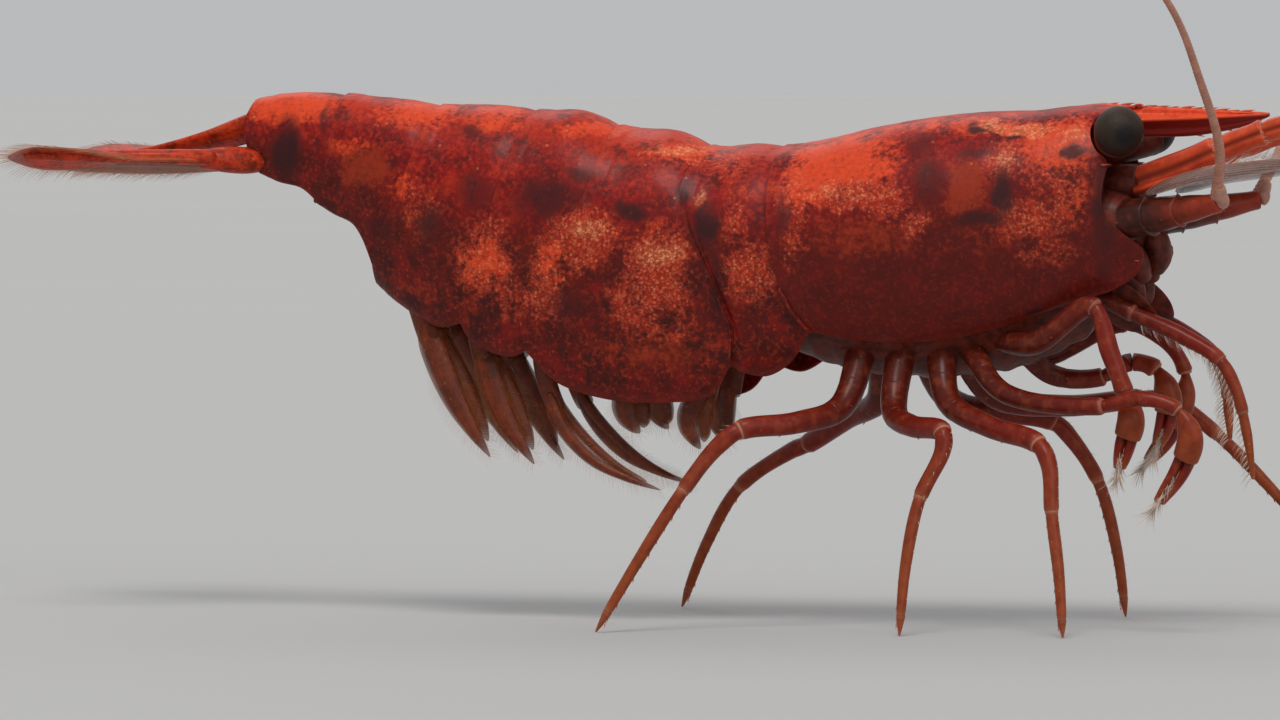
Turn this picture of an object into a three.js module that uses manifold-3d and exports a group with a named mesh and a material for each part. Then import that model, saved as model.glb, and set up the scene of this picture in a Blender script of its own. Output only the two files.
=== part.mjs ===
// Red cherry shrimp, adult female, standing on the floor: a still, life-size model.
// Millimetres. +X is ahead of the shrimp, +Z is up, and its right side is towards -Y.
// Shell plates are patches drawn in side view, bent round one body width; every
// limb, feeler and fin is a chain of rings along a smooth path.

import * as THREE from 'three';
import { mergeVertices } from 'three/addons/utils/BufferGeometryUtils.js';
import Module from 'manifold-3d';

const wasm = await Module();
wasm.setup();

// ---- Driving dimensions -------------------------------------------------------

const SEAM_GAP = 0.08; // clear space between neighbouring pieces
const FLOOR_Z = 0;
const FLOOR_SLAB = { side: 80, depth: 4 }; // everything below the floor, to be cut away

const ROSTRUM = { rootX: 10.75, tipX: 14.96, halfThickness: 0.27, taper: 0.55 };
const ROSTRUM_TEETH = { count: 9, height: 0.09, rings: 3 };
const ROSTRUM_CREST = { root: 11.96, drop: 0.12 }; // top edge, and how far it falls to the tip
const ROSTRUM_RIDGE = { root: 11.66, rise: 0.13 }; // widest level, along each side
const ROSTRUM_KEEL = { root: 11.34, sag: 0.1, rise: 0.42 }; // lower edge

const EYE_RADIUS = 0.57;
const EYE_CENTRE = [11.8, 1.62, 11.42];
const EYE_FACETS = { around: 12, down: 8 };
const EYESTALK_PATH = [[11.15, 0.55, 11.0, 0.3], [11.45, 1.0, 11.2, 0.34], [...EYE_CENTRE, 0.42]];

const PLATE_EDGE_THICKNESS = 0.5; // shell plates at their lower edges
const PLATE_RIBS = 7; // facets down each side of a shell plate
const PLATE_WAIST = 5; // the last of them that lies above the belly
const CARAPACE_SLICES = 11;
const ABDOMEN_SLICES = 5; // in each of the six rings
const BLADE_HALF_THICKNESS = 0.27; // tail fan, antennal scales, swimming limbs

// Body outline stations, [x, value], from the tail to the head.
const BACK_LINE = [
  [-9.6, 11.95], [-9.2, 12.12], [-8.4, 12.26], [-7.0, 12.2], [-5.6, 12.1], [-4.6, 11.96], [-3.4, 11.98],
  [-2.3, 11.84], [-1.4, 11.86], [-0.3, 11.46], [0.9, 11.38], [1.9, 11.02], [2.8, 11.1], [3.7, 11.06],
  [4.6, 11.24], [6.0, 11.54], [7.7, 11.8], [9.6, 11.9], [10.7, 12.02], [11.6, 11.98],
];
const HALF_WIDTH = [
  [-9.6, 0.72], [-8.4, 0.92], [-7.0, 1.2], [-5.6, 1.52], [-4.0, 1.84], [-2.3, 2.06], [-0.3, 2.22],
  [1.9, 2.24], [3.7, 2.2], [5.5, 2.28], [7.5, 2.26], [9.3, 2.08], [10.7, 1.86], [12.2, 1.62],
];
const WIDEST_LEVEL = [
  [-9.6, 11.1], [-8.4, 11.0], [-7.0, 10.7], [-5.6, 10.2], [-4.0, 9.5], [-2.3, 9.0], [-0.3, 8.6],
  [1.9, 8.4], [3.7, 8.7], [5.5, 8.8], [7.5, 8.9], [9.3, 9.2], [10.7, 9.4], [12.2, 9.5],
];
const BELLY_LEVEL = [
  [-9.6, 10.45], [-8.4, 10.35], [-7.0, 9.9], [-5.6, 9.1], [-4.0, 8.3], [-2.3, 7.6], [-0.3, 7.1],
  [1.9, 6.9], [3.7, 7.2], [5.5, 7.2], [7.5, 7.2], [9.3, 7.4], [10.7, 8.0], [12.2, 8.4],
];
// How far below its widest level the body would close if the sides went on curving in.
const SIDE_REACH = [
  [-9.6, 1.3], [-8.4, 1.5], [-7.0, 2.3], [-5.6, 3.6], [-4.0, 4.4], [-2.3, 5.2], [-0.3, 5.4],
  [1.9, 5.2], [3.7, 4.2], [5.5, 3.5], [9.3, 3.3], [12.2, 2.7],
];

const BACK_ROUNDING = 2.2; // 2 is an ellipse, more is fuller
const SIDE_ROUNDING = 2;

// Plate edges in side view, [x, z] from the back line down to the lower edge.
const CARAPACE_FRONT = [[10.95, 12.02], [11.05, 11.2], [11.1, 10.2], [11.3, 9.4], [12.25, 8.7], [11.5, 7.75]];
const CARAPACE_REAR = [[3.72, 11.06], [3.66, 10.6], [3.68, 9.6], [3.8, 8.6], [4.1, 7.5], [4.6, 6.8]];
const CARAPACE_LOWER = [
  [11.5, 7.75], [10.4, 7.4], [9.1, 6.95], [7.9, 6.65], [6.6, 6.55], [5.5, 6.62], [4.6, 6.8],
];
const SEAM_1_2 = [[1.9, 11.02], [1.72, 10.6], [1.58, 10.0], [1.7, 9.3], [2.2, 8.2], [2.75, 6.9], [2.7, 6.0]];
const SEAM_2_3 = [
  [-0.3, 11.46], [-0.5, 10.6], [-0.72, 9.95], [-1.2, 9.2], [-1.85, 8.3], [-2.3, 7.2], [-2.25, 6.3],
];
const SEAM_3_4 = [[-2.3, 11.84], [-2.57, 10.95], [-2.9, 9.8], [-3.35, 8.65], [-3.8, 7.6], [-3.9, 6.9]];
const SEAM_4_5 = [[-4.6, 11.96], [-4.88, 11.1], [-5.28, 10.1], [-5.75, 9.2], [-6.15, 8.4], [-6.2, 7.8]];
const SEAM_5_6 = [[-6.95, 12.2], [-7.1, 11.35], [-7.25, 10.6], [-7.55, 10.05], [-7.7, 9.7]];
const TAIL_END = [[-9.25, 12.1], [-9.4, 11.5], [-9.3, 10.9], [-9.05, 10.35]];
const SEAMS = [CARAPACE_REAR, SEAM_1_2, SEAM_2_3, SEAM_3_4, SEAM_4_5, SEAM_5_6, TAIL_END];
// Lower edges of the six abdominal rings, each from its front seam to its rear one.
const LOWER_EDGES = [
  [[4.6, 6.8], [4.1, 6.1], [3.5, 5.75], [2.95, 5.85], [2.7, 6.0]],
  [[2.7, 6.0], [2.2, 5.3], [1.0, 5.12], [-0.4, 5.2], [-1.6, 5.6], [-2.25, 6.3]],
  [[-2.25, 6.3], [-2.6, 6.15], [-3.2, 6.25], [-3.7, 6.5], [-3.9, 6.9]],
  [[-3.9, 6.9], [-4.5, 6.8], [-5.2, 7.1], [-5.8, 7.45], [-6.2, 7.8]],
  [[-6.2, 7.8], [-6.6, 8.6], [-7.1, 9.15], [-7.5, 9.4], [-7.7, 9.7]],
  [[-7.7, 9.7], [-8.0, 10.0], [-8.6, 10.15], [-9.05, 10.35]],
];

// Path rows are [x, y, z, radius]; the right-hand limb has its y turned negative.
const LEG_PATHS = {
  // first pair, short claws held under the head
  leg_1_right: [[8.7, 1.0, 6.1, 0.36], [9.9, 1.7, 6.6, 0.33], [11.3, 2.1, 7.45, 0.28], [11.75, 2.25, 6.4, 0.3],
    [12.1, 2.3, 5.5, 0.27], [12.25, 2.3, 4.9, 0.33], [12.1, 2.25, 4.3, 0.33], [11.95, 2.2, 3.75, 0.25]],
  leg_1_left: [[8.7, 1.0, 6.1, 0.36], [9.5, 1.5, 5.75, 0.28], [10.6, 1.65, 5.7, 0.27], [11.3, 1.65, 6.05, 0.28],
    [11.9, 1.65, 5.9, 0.27], [12.2, 1.65, 5.3, 0.33], [12.15, 1.65, 4.7, 0.33], [11.95, 1.65, 4.1, 0.25]],
  // second pair, longer claws
  leg_2_right: [[8.1, 1.1, 5.9, 0.36], [9.2, 1.9, 5.45, 0.28], [11.6, 2.75, 5.2, 0.27], [12.6, 2.9, 5.4, 0.27],
    [13.45, 2.9, 5.15, 0.25], [13.75, 2.85, 4.55, 0.3], [13.5, 2.7, 3.8, 0.33], [12.95, 2.6, 3.0, 0.25]],
  leg_2_left: [[8.1, 1.1, 5.9, 0.36], [9.2, 2.0, 6.15, 0.28], [10.9, 2.6, 6.9, 0.27], [11.9, 2.75, 6.5, 0.27],
    [12.35, 2.75, 5.8, 0.25], [12.3, 2.7, 5.1, 0.3], [11.95, 2.65, 4.3, 0.33], [11.5, 2.6, 3.7, 0.25]],
  // third to fifth pairs, walking legs
  leg_3_right: [[7.4, 1.1, 5.8, 0.36], [7.8, 1.6, 5.25, 0.3], [9.0, 2.5, 4.7, 0.29], [10.3, 3.2, 4.35, 0.28],
    [10.6, 3.4, 3.9, 0.27], [10.72, 3.6, 2.8, 0.25], [10.95, 3.85, 1.4, 0.25], [11.1, 4.05, -0.2, 0.25]],
  leg_3_left: [[7.4, 1.1, 5.8, 0.36], [8.1, 1.6, 5.25, 0.3], [9.6, 2.4, 5.0, 0.29], [11.2, 3.1, 5.15, 0.28],
    [11.9, 3.3, 5.1, 0.27], [13.0, 3.45, 4.3, 0.25], [14.2, 3.55, 3.1, 0.25], [15.1, 3.6, 2.1, 0.25]],
  leg_4_right: [[6.5, 1.1, 5.8, 0.36], [6.55, 1.7, 5.0, 0.3], [7.2, 2.6, 4.7, 0.29], [8.1, 3.35, 4.6, 0.28],
    [8.15, 3.5, 4.2, 0.27], [7.7, 3.85, 3.1, 0.25], [7.45, 4.15, 1.6, 0.25], [7.35, 4.4, -0.2, 0.25]],
  leg_4_left: [[6.5, 1.1, 5.8, 0.36], [7.0, 1.7, 5.15, 0.3], [8.0, 2.5, 4.85, 0.29], [9.1, 3.2, 4.6, 0.28],
    [9.5, 3.35, 4.2, 0.27], [10.1, 3.55, 3.2, 0.25], [10.5, 3.75, 1.6, 0.25], [10.7, 3.95, -0.2, 0.25]],
  leg_5_right: [[5.6, 1.1, 5.85, 0.36], [5.3, 1.7, 5.1, 0.3], [4.5, 2.8, 4.75, 0.29], [3.4, 3.6, 4.6, 0.28],
    [2.9, 3.8, 4.2, 0.27], [2.2, 4.2, 3.2, 0.25], [1.25, 4.6, 1.6, 0.25], [0.25, 5.0, -0.2, 0.25]],
  leg_5_left: [[5.6, 1.1, 5.85, 0.36], [5.3, 1.7, 5.15, 0.3], [4.3, 2.7, 4.65, 0.29], [3.1, 3.55, 4.0, 0.28],
    [2.6, 3.8, 3.8, 0.27], [1.2, 4.3, 2.9, 0.25], [0.3, 4.6, 1.5, 0.25], [-0.45, 4.9, -0.2, 0.25]],
};
// Face and thorax rows are [x, y, z, size]; one is taller than that, the other wider.
const FACE_PATH = [[10.9, 0, 9.3, 1.35], [11.5, 0, 9.25, 1.3], [12.1, 0, 9.1, 1.1], [12.5, 0, 9.0, 0.6]];
const FACE_HEIGHT_RATIO = 1.1;
const THORAX_PATH = [[4.4, 0, 6.4, 0.5], [5.4, 0, 6.4, 0.62], [7.0, 0, 6.4, 0.66], [9.0, 0, 6.6, 0.62],
  [10.8, 0, 7.2, 0.5]];
const THORAX_WIDTH_RATIO = 1.95;
const MAXILLIPED_PATHS = {
  maxilliped_right: [[11.0, 0.75, 7.75, 0.32], [11.9, 0.95, 7.3, 0.3], [13.2, 1.15, 6.75, 0.28],
    [14.05, 1.25, 6.25, 0.27], [14.45, 1.3, 5.6, 0.25], [14.7, 1.25, 4.6, 0.25], [14.85, 1.2, 3.5, 0.25]],
  maxilliped_left: [[11.0, 0.65, 7.75, 0.32], [11.7, 0.8, 7.3, 0.3], [12.7, 0.9, 6.8, 0.28],
    [13.4, 0.95, 6.3, 0.27], [13.7, 0.95, 5.7, 0.25], [13.8, 0.9, 5.0, 0.25], [13.85, 0.85, 4.3, 0.25]],
};
const ANTENNULE_STALK = [[11.95, 0.62, 10.25, 0.36], [13.0, 0.78, 10.6, 0.36], [13.9, 0.88, 10.98, 0.32],
  [15.0, 0.95, 11.4, 0.28], [15.7, 0.98, 11.62, 0.25]];
const ANTENNULE_UPPER = [[15.55, 0.98, 11.6, 0.25], [18.4, 1.6, 12.9, 0.25], [21.6, 2.9, 14.9, 0.25],
  [24.2, 4.6, 17.3, 0.25]];
const ANTENNULE_LOWER = [[15.55, 0.98, 11.55, 0.25], [18.6, 1.9, 11.9, 0.25], [22.0, 3.6, 12.7, 0.25],
  [25.2, 5.9, 14.1, 0.25]];
const ANTENNA_STALK = [[11.75, 1.15, 9.35, 0.5], [12.5, 1.5, 9.55, 0.44], [13.3, 1.85, 9.7, 0.32],
  [14.3, 2.1, 9.85, 0.28]];
const ANTENNA_WHIP = [[14.2, 2.08, 9.83, 0.26], [14.5, 3.2, 11.0, 0.25], [14.45, 5.0, 12.6, 0.25],
  [14.2, 7.0, 14.3, 0.25], [12.9, 9.6, 16.6, 0.25], [10.2, 12.1, 18.7, 0.25], [6.4, 14.0, 20.0, 0.25],
  [2.2, 15.2, 20.3, 0.25], [-2.0, 15.8, 19.6, 0.25]];
// Pleopod rows are [x, y, z, half width of the blade].
const PLEOPOD_PATHS = [
  [[2.3, 0.85, 6.8, 0.4], [1.9, 1.0, 5.6, 0.5], [1.65, 1.1, 4.7, 0.42], [1.8, 1.1, 4.05, 0.26]],
  [[0.1, 0.9, 6.9, 0.45], [0.1, 1.05, 5.7, 0.55], [0.15, 1.1, 4.9, 0.45], [0.35, 1.1, 4.4, 0.26]],
  [[-2.0, 0.85, 7.4, 0.4], [-2.0, 1.1, 5.9, 0.42], [-1.5, 1.2, 4.7, 0.34], [-0.5, 1.25, 3.7, 0.28],
    [0.9, 1.3, 3.1, 0.25]],
  [[-3.9, 0.75, 8.15, 0.45], [-3.5, 0.95, 6.5, 0.55], [-2.9, 1.05, 5.0, 0.45], [-2.2, 1.1, 3.65, 0.26]],
  [[-5.7, 0.6, 8.95, 0.42], [-5.0, 0.8, 7.2, 0.55], [-4.1, 0.95, 5.3, 0.48], [-3.3, 1.0, 3.8, 0.26]],
];
// Tail fan rows are [x, y, z, half width of the blade].
const TELSON_BLADE = [[-9.4, 0, 11.58, 0.6], [-10.5, 0, 11.24, 0.56], [-11.9, 0, 10.88, 0.44],
  [-13.3, 0, 10.7, 0.27]];
const OUTER_FIN = [[-9.15, 0.95, 10.64, 0.38], [-10.4, 1.6, 10.72, 0.46], [-12.2, 2.12, 10.73, 0.6],
  [-13.8, 2.38, 10.75, 0.52], [-14.78, 2.45, 10.72, 0.27]];
const INNER_FIN = [[-9.4, 0.5, 10.42, 0.3], [-10.8, 0.78, 10.4, 0.36], [-12.4, 0.94, 10.38, 0.42],
  [-13.9, 1.0, 10.4, 0.27]];
const ANTENNAL_SCALE = [[12.6, 1.55, 10.12, 0.34], [13.6, 1.75, 10.42, 0.55], [15.0, 1.85, 10.62, 0.56],
  [16.3, 1.75, 10.8, 0.28]];

const SHELL_RED = { color: 0xb3261a, roughness: 0.38, metalness: 0 };
const SHELL_ORANGE = { color: 0xd9532c, roughness: 0.42, metalness: 0 };
const EYE_GREY = { color: 0x2b2a2c, roughness: 0.2, metalness: 0 };
const FLESH_BROWN = { color: 0x7c3320, roughness: 0.5, metalness: 0 };
const LIMB_RED = { color: 0x9c3020, roughness: 0.4, metalness: 0 };
const FIN_RED = { color: 0xcc4a26, roughness: 0.45, metalness: 0 };
const FEELER_RED = { color: 0xb84a38, roughness: 0.5, metalness: 0 };

// ---- Shape helpers --------------------------------------------------------------

// Smooth value at x along rows of [x, value].
function valueAt(rows, x) {
  const last = rows.length - 1;
  if (x <= rows[0][0]) return rows[0][1];
  if (x >= rows[last][0]) return rows[last][1];
  const i = rows.findIndex((row) => row[0] > x) - 1;
  const slope = (k) => {
    const a = rows[Math.max(k - 1, 0)];
    const b = rows[Math.min(k + 1, last)];
    return (b[1] - a[1]) / (b[0] - a[0]);
  };
  const span = rows[i + 1][0] - rows[i][0];
  const t = (x - rows[i][0]) / span;
  const rise = rows[i + 1][1] - rows[i][1];
  const a = slope(i) * span - rise;
  const b = rise - slope(i + 1) * span;
  return rows[i][1] + t * rise + t * (1 - t) * (a * (1 - t) + b * t);
}

function sideCurve(points) {
  return new THREE.CatmullRomCurve3(points.map(([x, z]) => new THREE.Vector3(x, 0, z)), false, 'centripetal');
}

// Half width of the body at a point of its side view.
function halfWidthAt(x, z) {
  const widest = valueAt(WIDEST_LEVEL, x);
  const top = valueAt(BACK_LINE, x);
  const reach = z > widest ? top - widest : valueAt(SIDE_REACH, x);
  const power = z > widest ? BACK_ROUNDING : SIDE_ROUNDING;
  const part = Math.min(Math.abs(z - widest) / reach, 1);
  return valueAt(HALF_WIDTH, x) * (1 - part ** power) ** (1 / power);
}

// Triangles that fill a convex ring.
function fanCap(ring) {
  return ring.slice(2).map((point, k) => [0, k + 1, k + 2]);
}

// Triangles that fill a plate's ring, which hangs down on both sides of the belly.
// Its order is: top, right side down to the edge, up inside to the belly, and back.
// It is filled straight across as far as the waist, a row above the belly.
function plateCap(ring) {
  const left = (k) => ring.length - k;
  const inner = PLATE_RIBS + 2;
  const faces = [[0, 1, left(1)]];
  for (let k = 1; k < PLATE_WAIST; k += 1) faces.push([k, k + 1, left(k + 1)], [k, left(k + 1), left(k)]);
  faces.push([PLATE_WAIST, inner, left(inner)], [PLATE_WAIST, left(inner), left(PLATE_WAIST)]);
  for (let k = PLATE_WAIST; k < inner - 1; k += 1) {
    faces.push([k, k + 1, inner], [left(k + 1), left(k), left(inner)]);
  }
  return faces;
}

// Closed skin through rings of equally many points, with both ends filled.
function loft(rings, cap = fanCap) {
  const count = rings[0].length;
  const faces = [];
  for (let r = 0; r < rings.length - 1; r += 1) {
    for (let k = 0; k < count; k += 1) {
      const a = r * count + k;
      const b = r * count + ((k + 1) % count);
      faces.push(a, b, a + count, b, b + count, a + count);
    }
  }
  const last = (rings.length - 1) * count;
  cap(rings[0]).forEach(([a, b, c]) => faces.push(a, c, b));
  cap(rings[rings.length - 1]).forEach(([a, b, c]) => faces.push(last + a, last + b, last + c));
  const corners = rings.flat().flatMap((point) => point.toArray());
  const geometry = new THREE.BufferGeometry();
  geometry.setAttribute('position', new THREE.Float32BufferAttribute(corners, 3));
  geometry.setIndex(faces);
  return facingOut(geometry);
}

function signedVolume(geometry) {
  const position = geometry.getAttribute('position');
  const index = geometry.getIndex();
  const [a, b, c] = [new THREE.Vector3(), new THREE.Vector3(), new THREE.Vector3()];
  let sum = 0;
  for (let i = 0; i < index.count; i += 3) {
    a.fromBufferAttribute(position, index.getX(i));
    b.fromBufferAttribute(position, index.getX(i + 1));
    c.fromBufferAttribute(position, index.getX(i + 2));
    sum += a.dot(b.cross(c));
  }
  return sum / 6;
}

function facingOut(geometry) {
  if (signedVolume(geometry) < 0) {
    const turned = Array.from(geometry.getIndex().array);
    for (let i = 0; i < turned.length; i += 3) [turned[i + 1], turned[i + 2]] = [turned[i + 2], turned[i + 1]];
    geometry.setIndex(turned);
  }
  return geometry;
}

// Rings round a smooth path; wide and thick give the two half sizes at each row.
function sweep(rows, sides, steps, wide, thick, across) {
  const points = rows.map(([x, y, z]) => new THREE.Vector3(x, y, z));
  const path = new THREE.CatmullRomCurve3(points, false, 'centripetal');
  const sizes = rows.map((row, i) => [i / (rows.length - 1), row[3]]);
  const rings = [];
  for (let s = 0; s <= steps; s += 1) {
    const t = s / steps;
    const centre = path.getPoint(t);
    const along = path.getTangent(t);
    const side = across.clone().addScaledVector(along, -across.dot(along)).normalize();
    const up = new THREE.Vector3().crossVectors(along, side);
    const size = valueAt(sizes, t);
    const ring = [];
    for (let k = 0; k < sides; k += 1) {
      const turn = ((k + 0.5) / sides) * 2 * Math.PI;
      ring.push(centre.clone()
        .addScaledVector(side, wide(size) * Math.cos(turn))
        .addScaledVector(up, thick(size) * Math.sin(turn)));
    }
    rings.push(ring);
  }
  return loft(rings);
}

const OUT = new THREE.Vector3(0, 1, 0);
const AHEAD = new THREE.Vector3(1, 0, 0);

function round(rows, sides, steps, across) {
  return sweep(rows, sides, steps, (size) => size, (size) => size, across);
}

function blade(rows, steps, across) {
  return sweep(rows, 6, steps, (size) => size, () => BLADE_HALF_THICKNESS, across);
}

function toSide(rows, side) {
  return rows.map(([x, y, z, size]) => [x, y * side, z, size]);
}

// ---- Joining and cutting ----------------------------------------------------------

// Positions only, with the corners that a primitive repeats along its seams merged.
function bareMesh(geometry) {
  const bare = geometry.clone();
  if (!bare.hasAttribute('uv')) return bare;
  bare.deleteAttribute('normal');
  bare.deleteAttribute('uv');
  return mergeVertices(bare, 1e-4);
}

function toSolid(geometry) {
  const bare = bareMesh(geometry);
  return new wasm.Manifold(new wasm.Mesh({
    numProp: 3,
    vertProperties: new Float32Array(bare.getAttribute('position').array),
    triVerts: new Uint32Array(bare.getIndex().array),
  }));
}

function toGeometry(solid) {
  const mesh = solid.getMesh();
  const geometry = new THREE.BufferGeometry();
  geometry.setAttribute('position', new THREE.BufferAttribute(Float32Array.from(mesh.vertProperties), 3));
  geometry.setIndex(Array.from(mesh.triVerts));
  return geometry;
}

// The same shape with every corner moved out along its normal.
function swollen(geometry, gap) {
  const bare = bareMesh(geometry);
  bare.computeVertexNormals();
  const position = bare.getAttribute('position');
  const normal = bare.getAttribute('normal');
  for (let i = 0; i < position.count; i += 1) {
    position.setXYZ(
      i,
      position.getX(i) + gap * normal.getX(i),
      position.getY(i) + gap * normal.getY(i),
      position.getZ(i) + gap * normal.getZ(i),
    );
  }
  bare.deleteAttribute('normal');
  return bare;
}

function largestBody(solid) {
  return solid.decompose().reduce((best, piece) => (piece.volume() > best.volume() ? piece : best));
}

function joined(...geometries) {
  return toGeometry(geometries.map(toSolid).reduce((sum, solid) => sum.add(solid)));
}

// A piece with its neighbours and a seam round them taken away.
function fitted(geometry, neighbours) {
  const cut = neighbours.reduce(
    (solid, other) => solid.subtract(toSolid(swollen(other, SEAM_GAP))).subtract(toSolid(other)),
    toSolid(geometry),
  );
  return toGeometry(largestBody(cut));
}

// Everything above the floor, which leaves a small flat under each foot.
function cutAtFloor(geometry) {
  const slab = new THREE.BoxGeometry(FLOOR_SLAB.side, FLOOR_SLAB.side, FLOOR_SLAB.depth);
  slab.translate(0, 0, FLOOR_Z - FLOOR_SLAB.depth / 2);
  return toGeometry(largestBody(toSolid(geometry).subtract(toSolid(slab))));
}

// ---- Shell plates -------------------------------------------------------------------

// A body plate between a front and a rear edge drawn in side view. Its lower edge
// is a curve between the edges' ends, and its inside is closed at belly level.
function shellPlate(frontPoints, rearPoints, lowerPoints, slices) {
  const front = sideCurve(frontPoints);
  const rear = sideCurve(rearPoints);
  const lower = sideCurve(lowerPoints);
  const rings = [];
  for (let s = 0; s <= slices; s += 1) {
    const u = s / slices;
    const topX = (1 - u) * frontPoints[0][0] + u * rearPoints[0][0];
    const top = new THREE.Vector3(topX, 0, valueAt(BACK_LINE, topX));
    const straightTop = front.getPoint(0).lerp(rear.getPoint(0), u);
    const straightLow = front.getPoint(1).lerp(rear.getPoint(1), u);
    const half = [];
    for (let k = 0; k <= PLATE_RIBS; k += 1) {
      const down = 1 - Math.cos((k / PLATE_RIBS) * (Math.PI / 2));
      const flat = front.getPoint(down).lerp(rear.getPoint(down), u);
      flat.addScaledVector(top.clone().sub(straightTop), 1 - down);
      flat.addScaledVector(lower.getPoint(u).sub(straightLow), down);
      const y = k === 0 ? 0 : Math.max(halfWidthAt(flat.x, flat.z), 0.02);
      half.push(new THREE.Vector3(flat.x, -y, flat.z));
    }
    const edge = half[PLATE_RIBS];
    const belly = Math.max(valueAt(BELLY_LEVEL, edge.x), edge.z + 0.1);
    const inner = Math.abs(edge.y) - PLATE_EDGE_THICKNESS;
    half.push(new THREE.Vector3(edge.x, -inner, edge.z + 0.02));
    half.push(new THREE.Vector3(edge.x, -inner * 0.9, belly));
    const mirrored = half.slice(1).reverse().map((point) => new THREE.Vector3(point.x, -point.y, point.z));
    rings.push([...half, ...mirrored]);
  }
  return loft(rings, plateCap);
}

const carapace = shellPlate(CARAPACE_FRONT, CARAPACE_REAR, CARAPACE_LOWER, CARAPACE_SLICES);

// An edge moved along X.
function shifted(points, dx) {
  return points.map(([x, z]) => [x + dx, z]);
}

const abdomen = LOWER_EDGES.map((lower, i) => {
  const front = shifted(SEAMS[i], -SEAM_GAP);
  return shellPlate(front, SEAMS[i + 1], [front[front.length - 1], ...lower.slice(1)], ABDOMEN_SLICES);
});

// ---- Head ---------------------------------------------------------------------------

// A blade with a ridge along each side and forward-leaning teeth along its crest.
function rostrumBlade() {
  const steps = ROSTRUM_TEETH.count * ROSTRUM_TEETH.rings;
  const rings = [];
  for (let s = 0; s <= steps; s += 1) {
    const t = s / steps;
    const x = ROSTRUM.rootX + (ROSTRUM.tipX - ROSTRUM.rootX) * t;
    const tooth = ROSTRUM_TEETH.height * ((s % ROSTRUM_TEETH.rings) / ROSTRUM_TEETH.rings);
    const crest = ROSTRUM_CREST.root - ROSTRUM_CREST.drop * t + tooth;
    const ridge = ROSTRUM_RIDGE.root + ROSTRUM_RIDGE.rise * t;
    const keel = ROSTRUM_KEEL.root - ROSTRUM_KEEL.sag * Math.sin(t * Math.PI) + ROSTRUM_KEEL.rise * t ** 2;
    const half = ROSTRUM.halfThickness * (1 - ROSTRUM.taper * t ** 2);
    const right = [[0, crest], [0.4 * half, crest - 0.05], [half, ridge], [0.5 * half, keel + 0.05], [0, keel]];
    const left = right.slice(1, -1).reverse().map(([y, z]) => [-y, z]);
    rings.push([...right, ...left].map(([y, z]) => new THREE.Vector3(x, y, z)));
  }
  return loft(rings);
}

function eyeball(side) {
  const globe = new THREE.SphereGeometry(EYE_RADIUS, EYE_FACETS.around, EYE_FACETS.down);
  globe.translate(EYE_CENTRE[0], EYE_CENTRE[1] * side, EYE_CENTRE[2]);
  return bareMesh(globe);
}

// The front of the head under the eyes, which carries the feelers and the mouth.
function faceBlock() {
  return sweep(FACE_PATH, 11, 4, (size) => size, (size) => size * FACE_HEIGHT_RATIO, OUT);
}

// The underside between the legs, as wide as the carapace leaves open.
function thoraxKeel() {
  return sweep(THORAX_PATH, 10, 7, (size) => size * THORAX_WIDTH_RATIO, (size) => size, OUT);
}

// ---- Assembly -----------------------------------------------------------------------

const shrimp = new THREE.Group();

function addPiece(name, geometry, finish) {
  const mesh = new THREE.Mesh(geometry, new THREE.MeshStandardMaterial(finish));
  mesh.name = name;
  shrimp.add(mesh);
}

const SIDES = [['right', -1], ['left', 1]];

const rostrum = fitted(rostrumBlade(), [carapace]);
const face = fitted(faceBlock(), [carapace]);
const thorax = fitted(thoraxKeel(), [carapace, abdomen[0], face]);

addPiece('carapace', carapace, SHELL_RED);
addPiece('rostrum', rostrum, SHELL_ORANGE);
addPiece('face', face, FLESH_BROWN);
addPiece('thorax', thorax, FLESH_BROWN);

SIDES.forEach(([word, side]) => {
  const eye = eyeball(side);
  const stalk = fitted(round(toSide(EYESTALK_PATH, side), 8, 3, AHEAD), [eye, carapace, face, rostrum]);
  addPiece(`eye_${word}`, eye, EYE_GREY);
  addPiece(`eyestalk_${word}`, stalk, FLESH_BROWN);

  const antennule = joined(
    round(toSide(ANTENNULE_STALK, side), 8, 5, OUT),
    round(toSide(ANTENNULE_UPPER, side), 6, 6, OUT),
    round(toSide(ANTENNULE_LOWER, side), 6, 6, OUT),
  );
  addPiece(`antennule_${word}`, fitted(antennule, [face, carapace, eye, stalk]), FEELER_RED);

  const antenna = joined(
    round(toSide(ANTENNA_STALK, side), 8, 5, OUT),
    round(toSide(ANTENNA_WHIP, side), 6, 18, AHEAD),
  );
  const antennaFitted = fitted(antenna, [face, carapace, antennule]);
  addPiece(`antenna_${word}`, antennaFitted, FEELER_RED);

  const scale = blade(toSide(ANTENNAL_SCALE, side), 7, OUT);
  addPiece(`antennal_scale_${word}`, fitted(scale, [antennaFitted, antennule, face]), FIN_RED);

  const maxilliped = round(toSide(MAXILLIPED_PATHS[`maxilliped_${word}`], side), 7, 11, OUT);
  addPiece(`maxilliped_${word}`, fitted(maxilliped, [face, carapace, thorax]), LIMB_RED);
});

SIDES.forEach(([word, side]) => {
  const placed = [];
  for (let pair = 1; pair <= 5; pair += 1) {
    const name = `leg_${pair}_${word}`;
    const limb = round(toSide(LEG_PATHS[name], side), 7, 13, AHEAD);
    const standing = cutAtFloor(limb);
    const leg = fitted(standing, [carapace, thorax, abdomen[0], ...placed]);
    placed.push(leg);
    addPiece(name, leg, LIMB_RED);
  }
});

abdomen.forEach((plate, i) => addPiece(`abdomen_${i + 1}`, plate, SHELL_RED));

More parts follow.
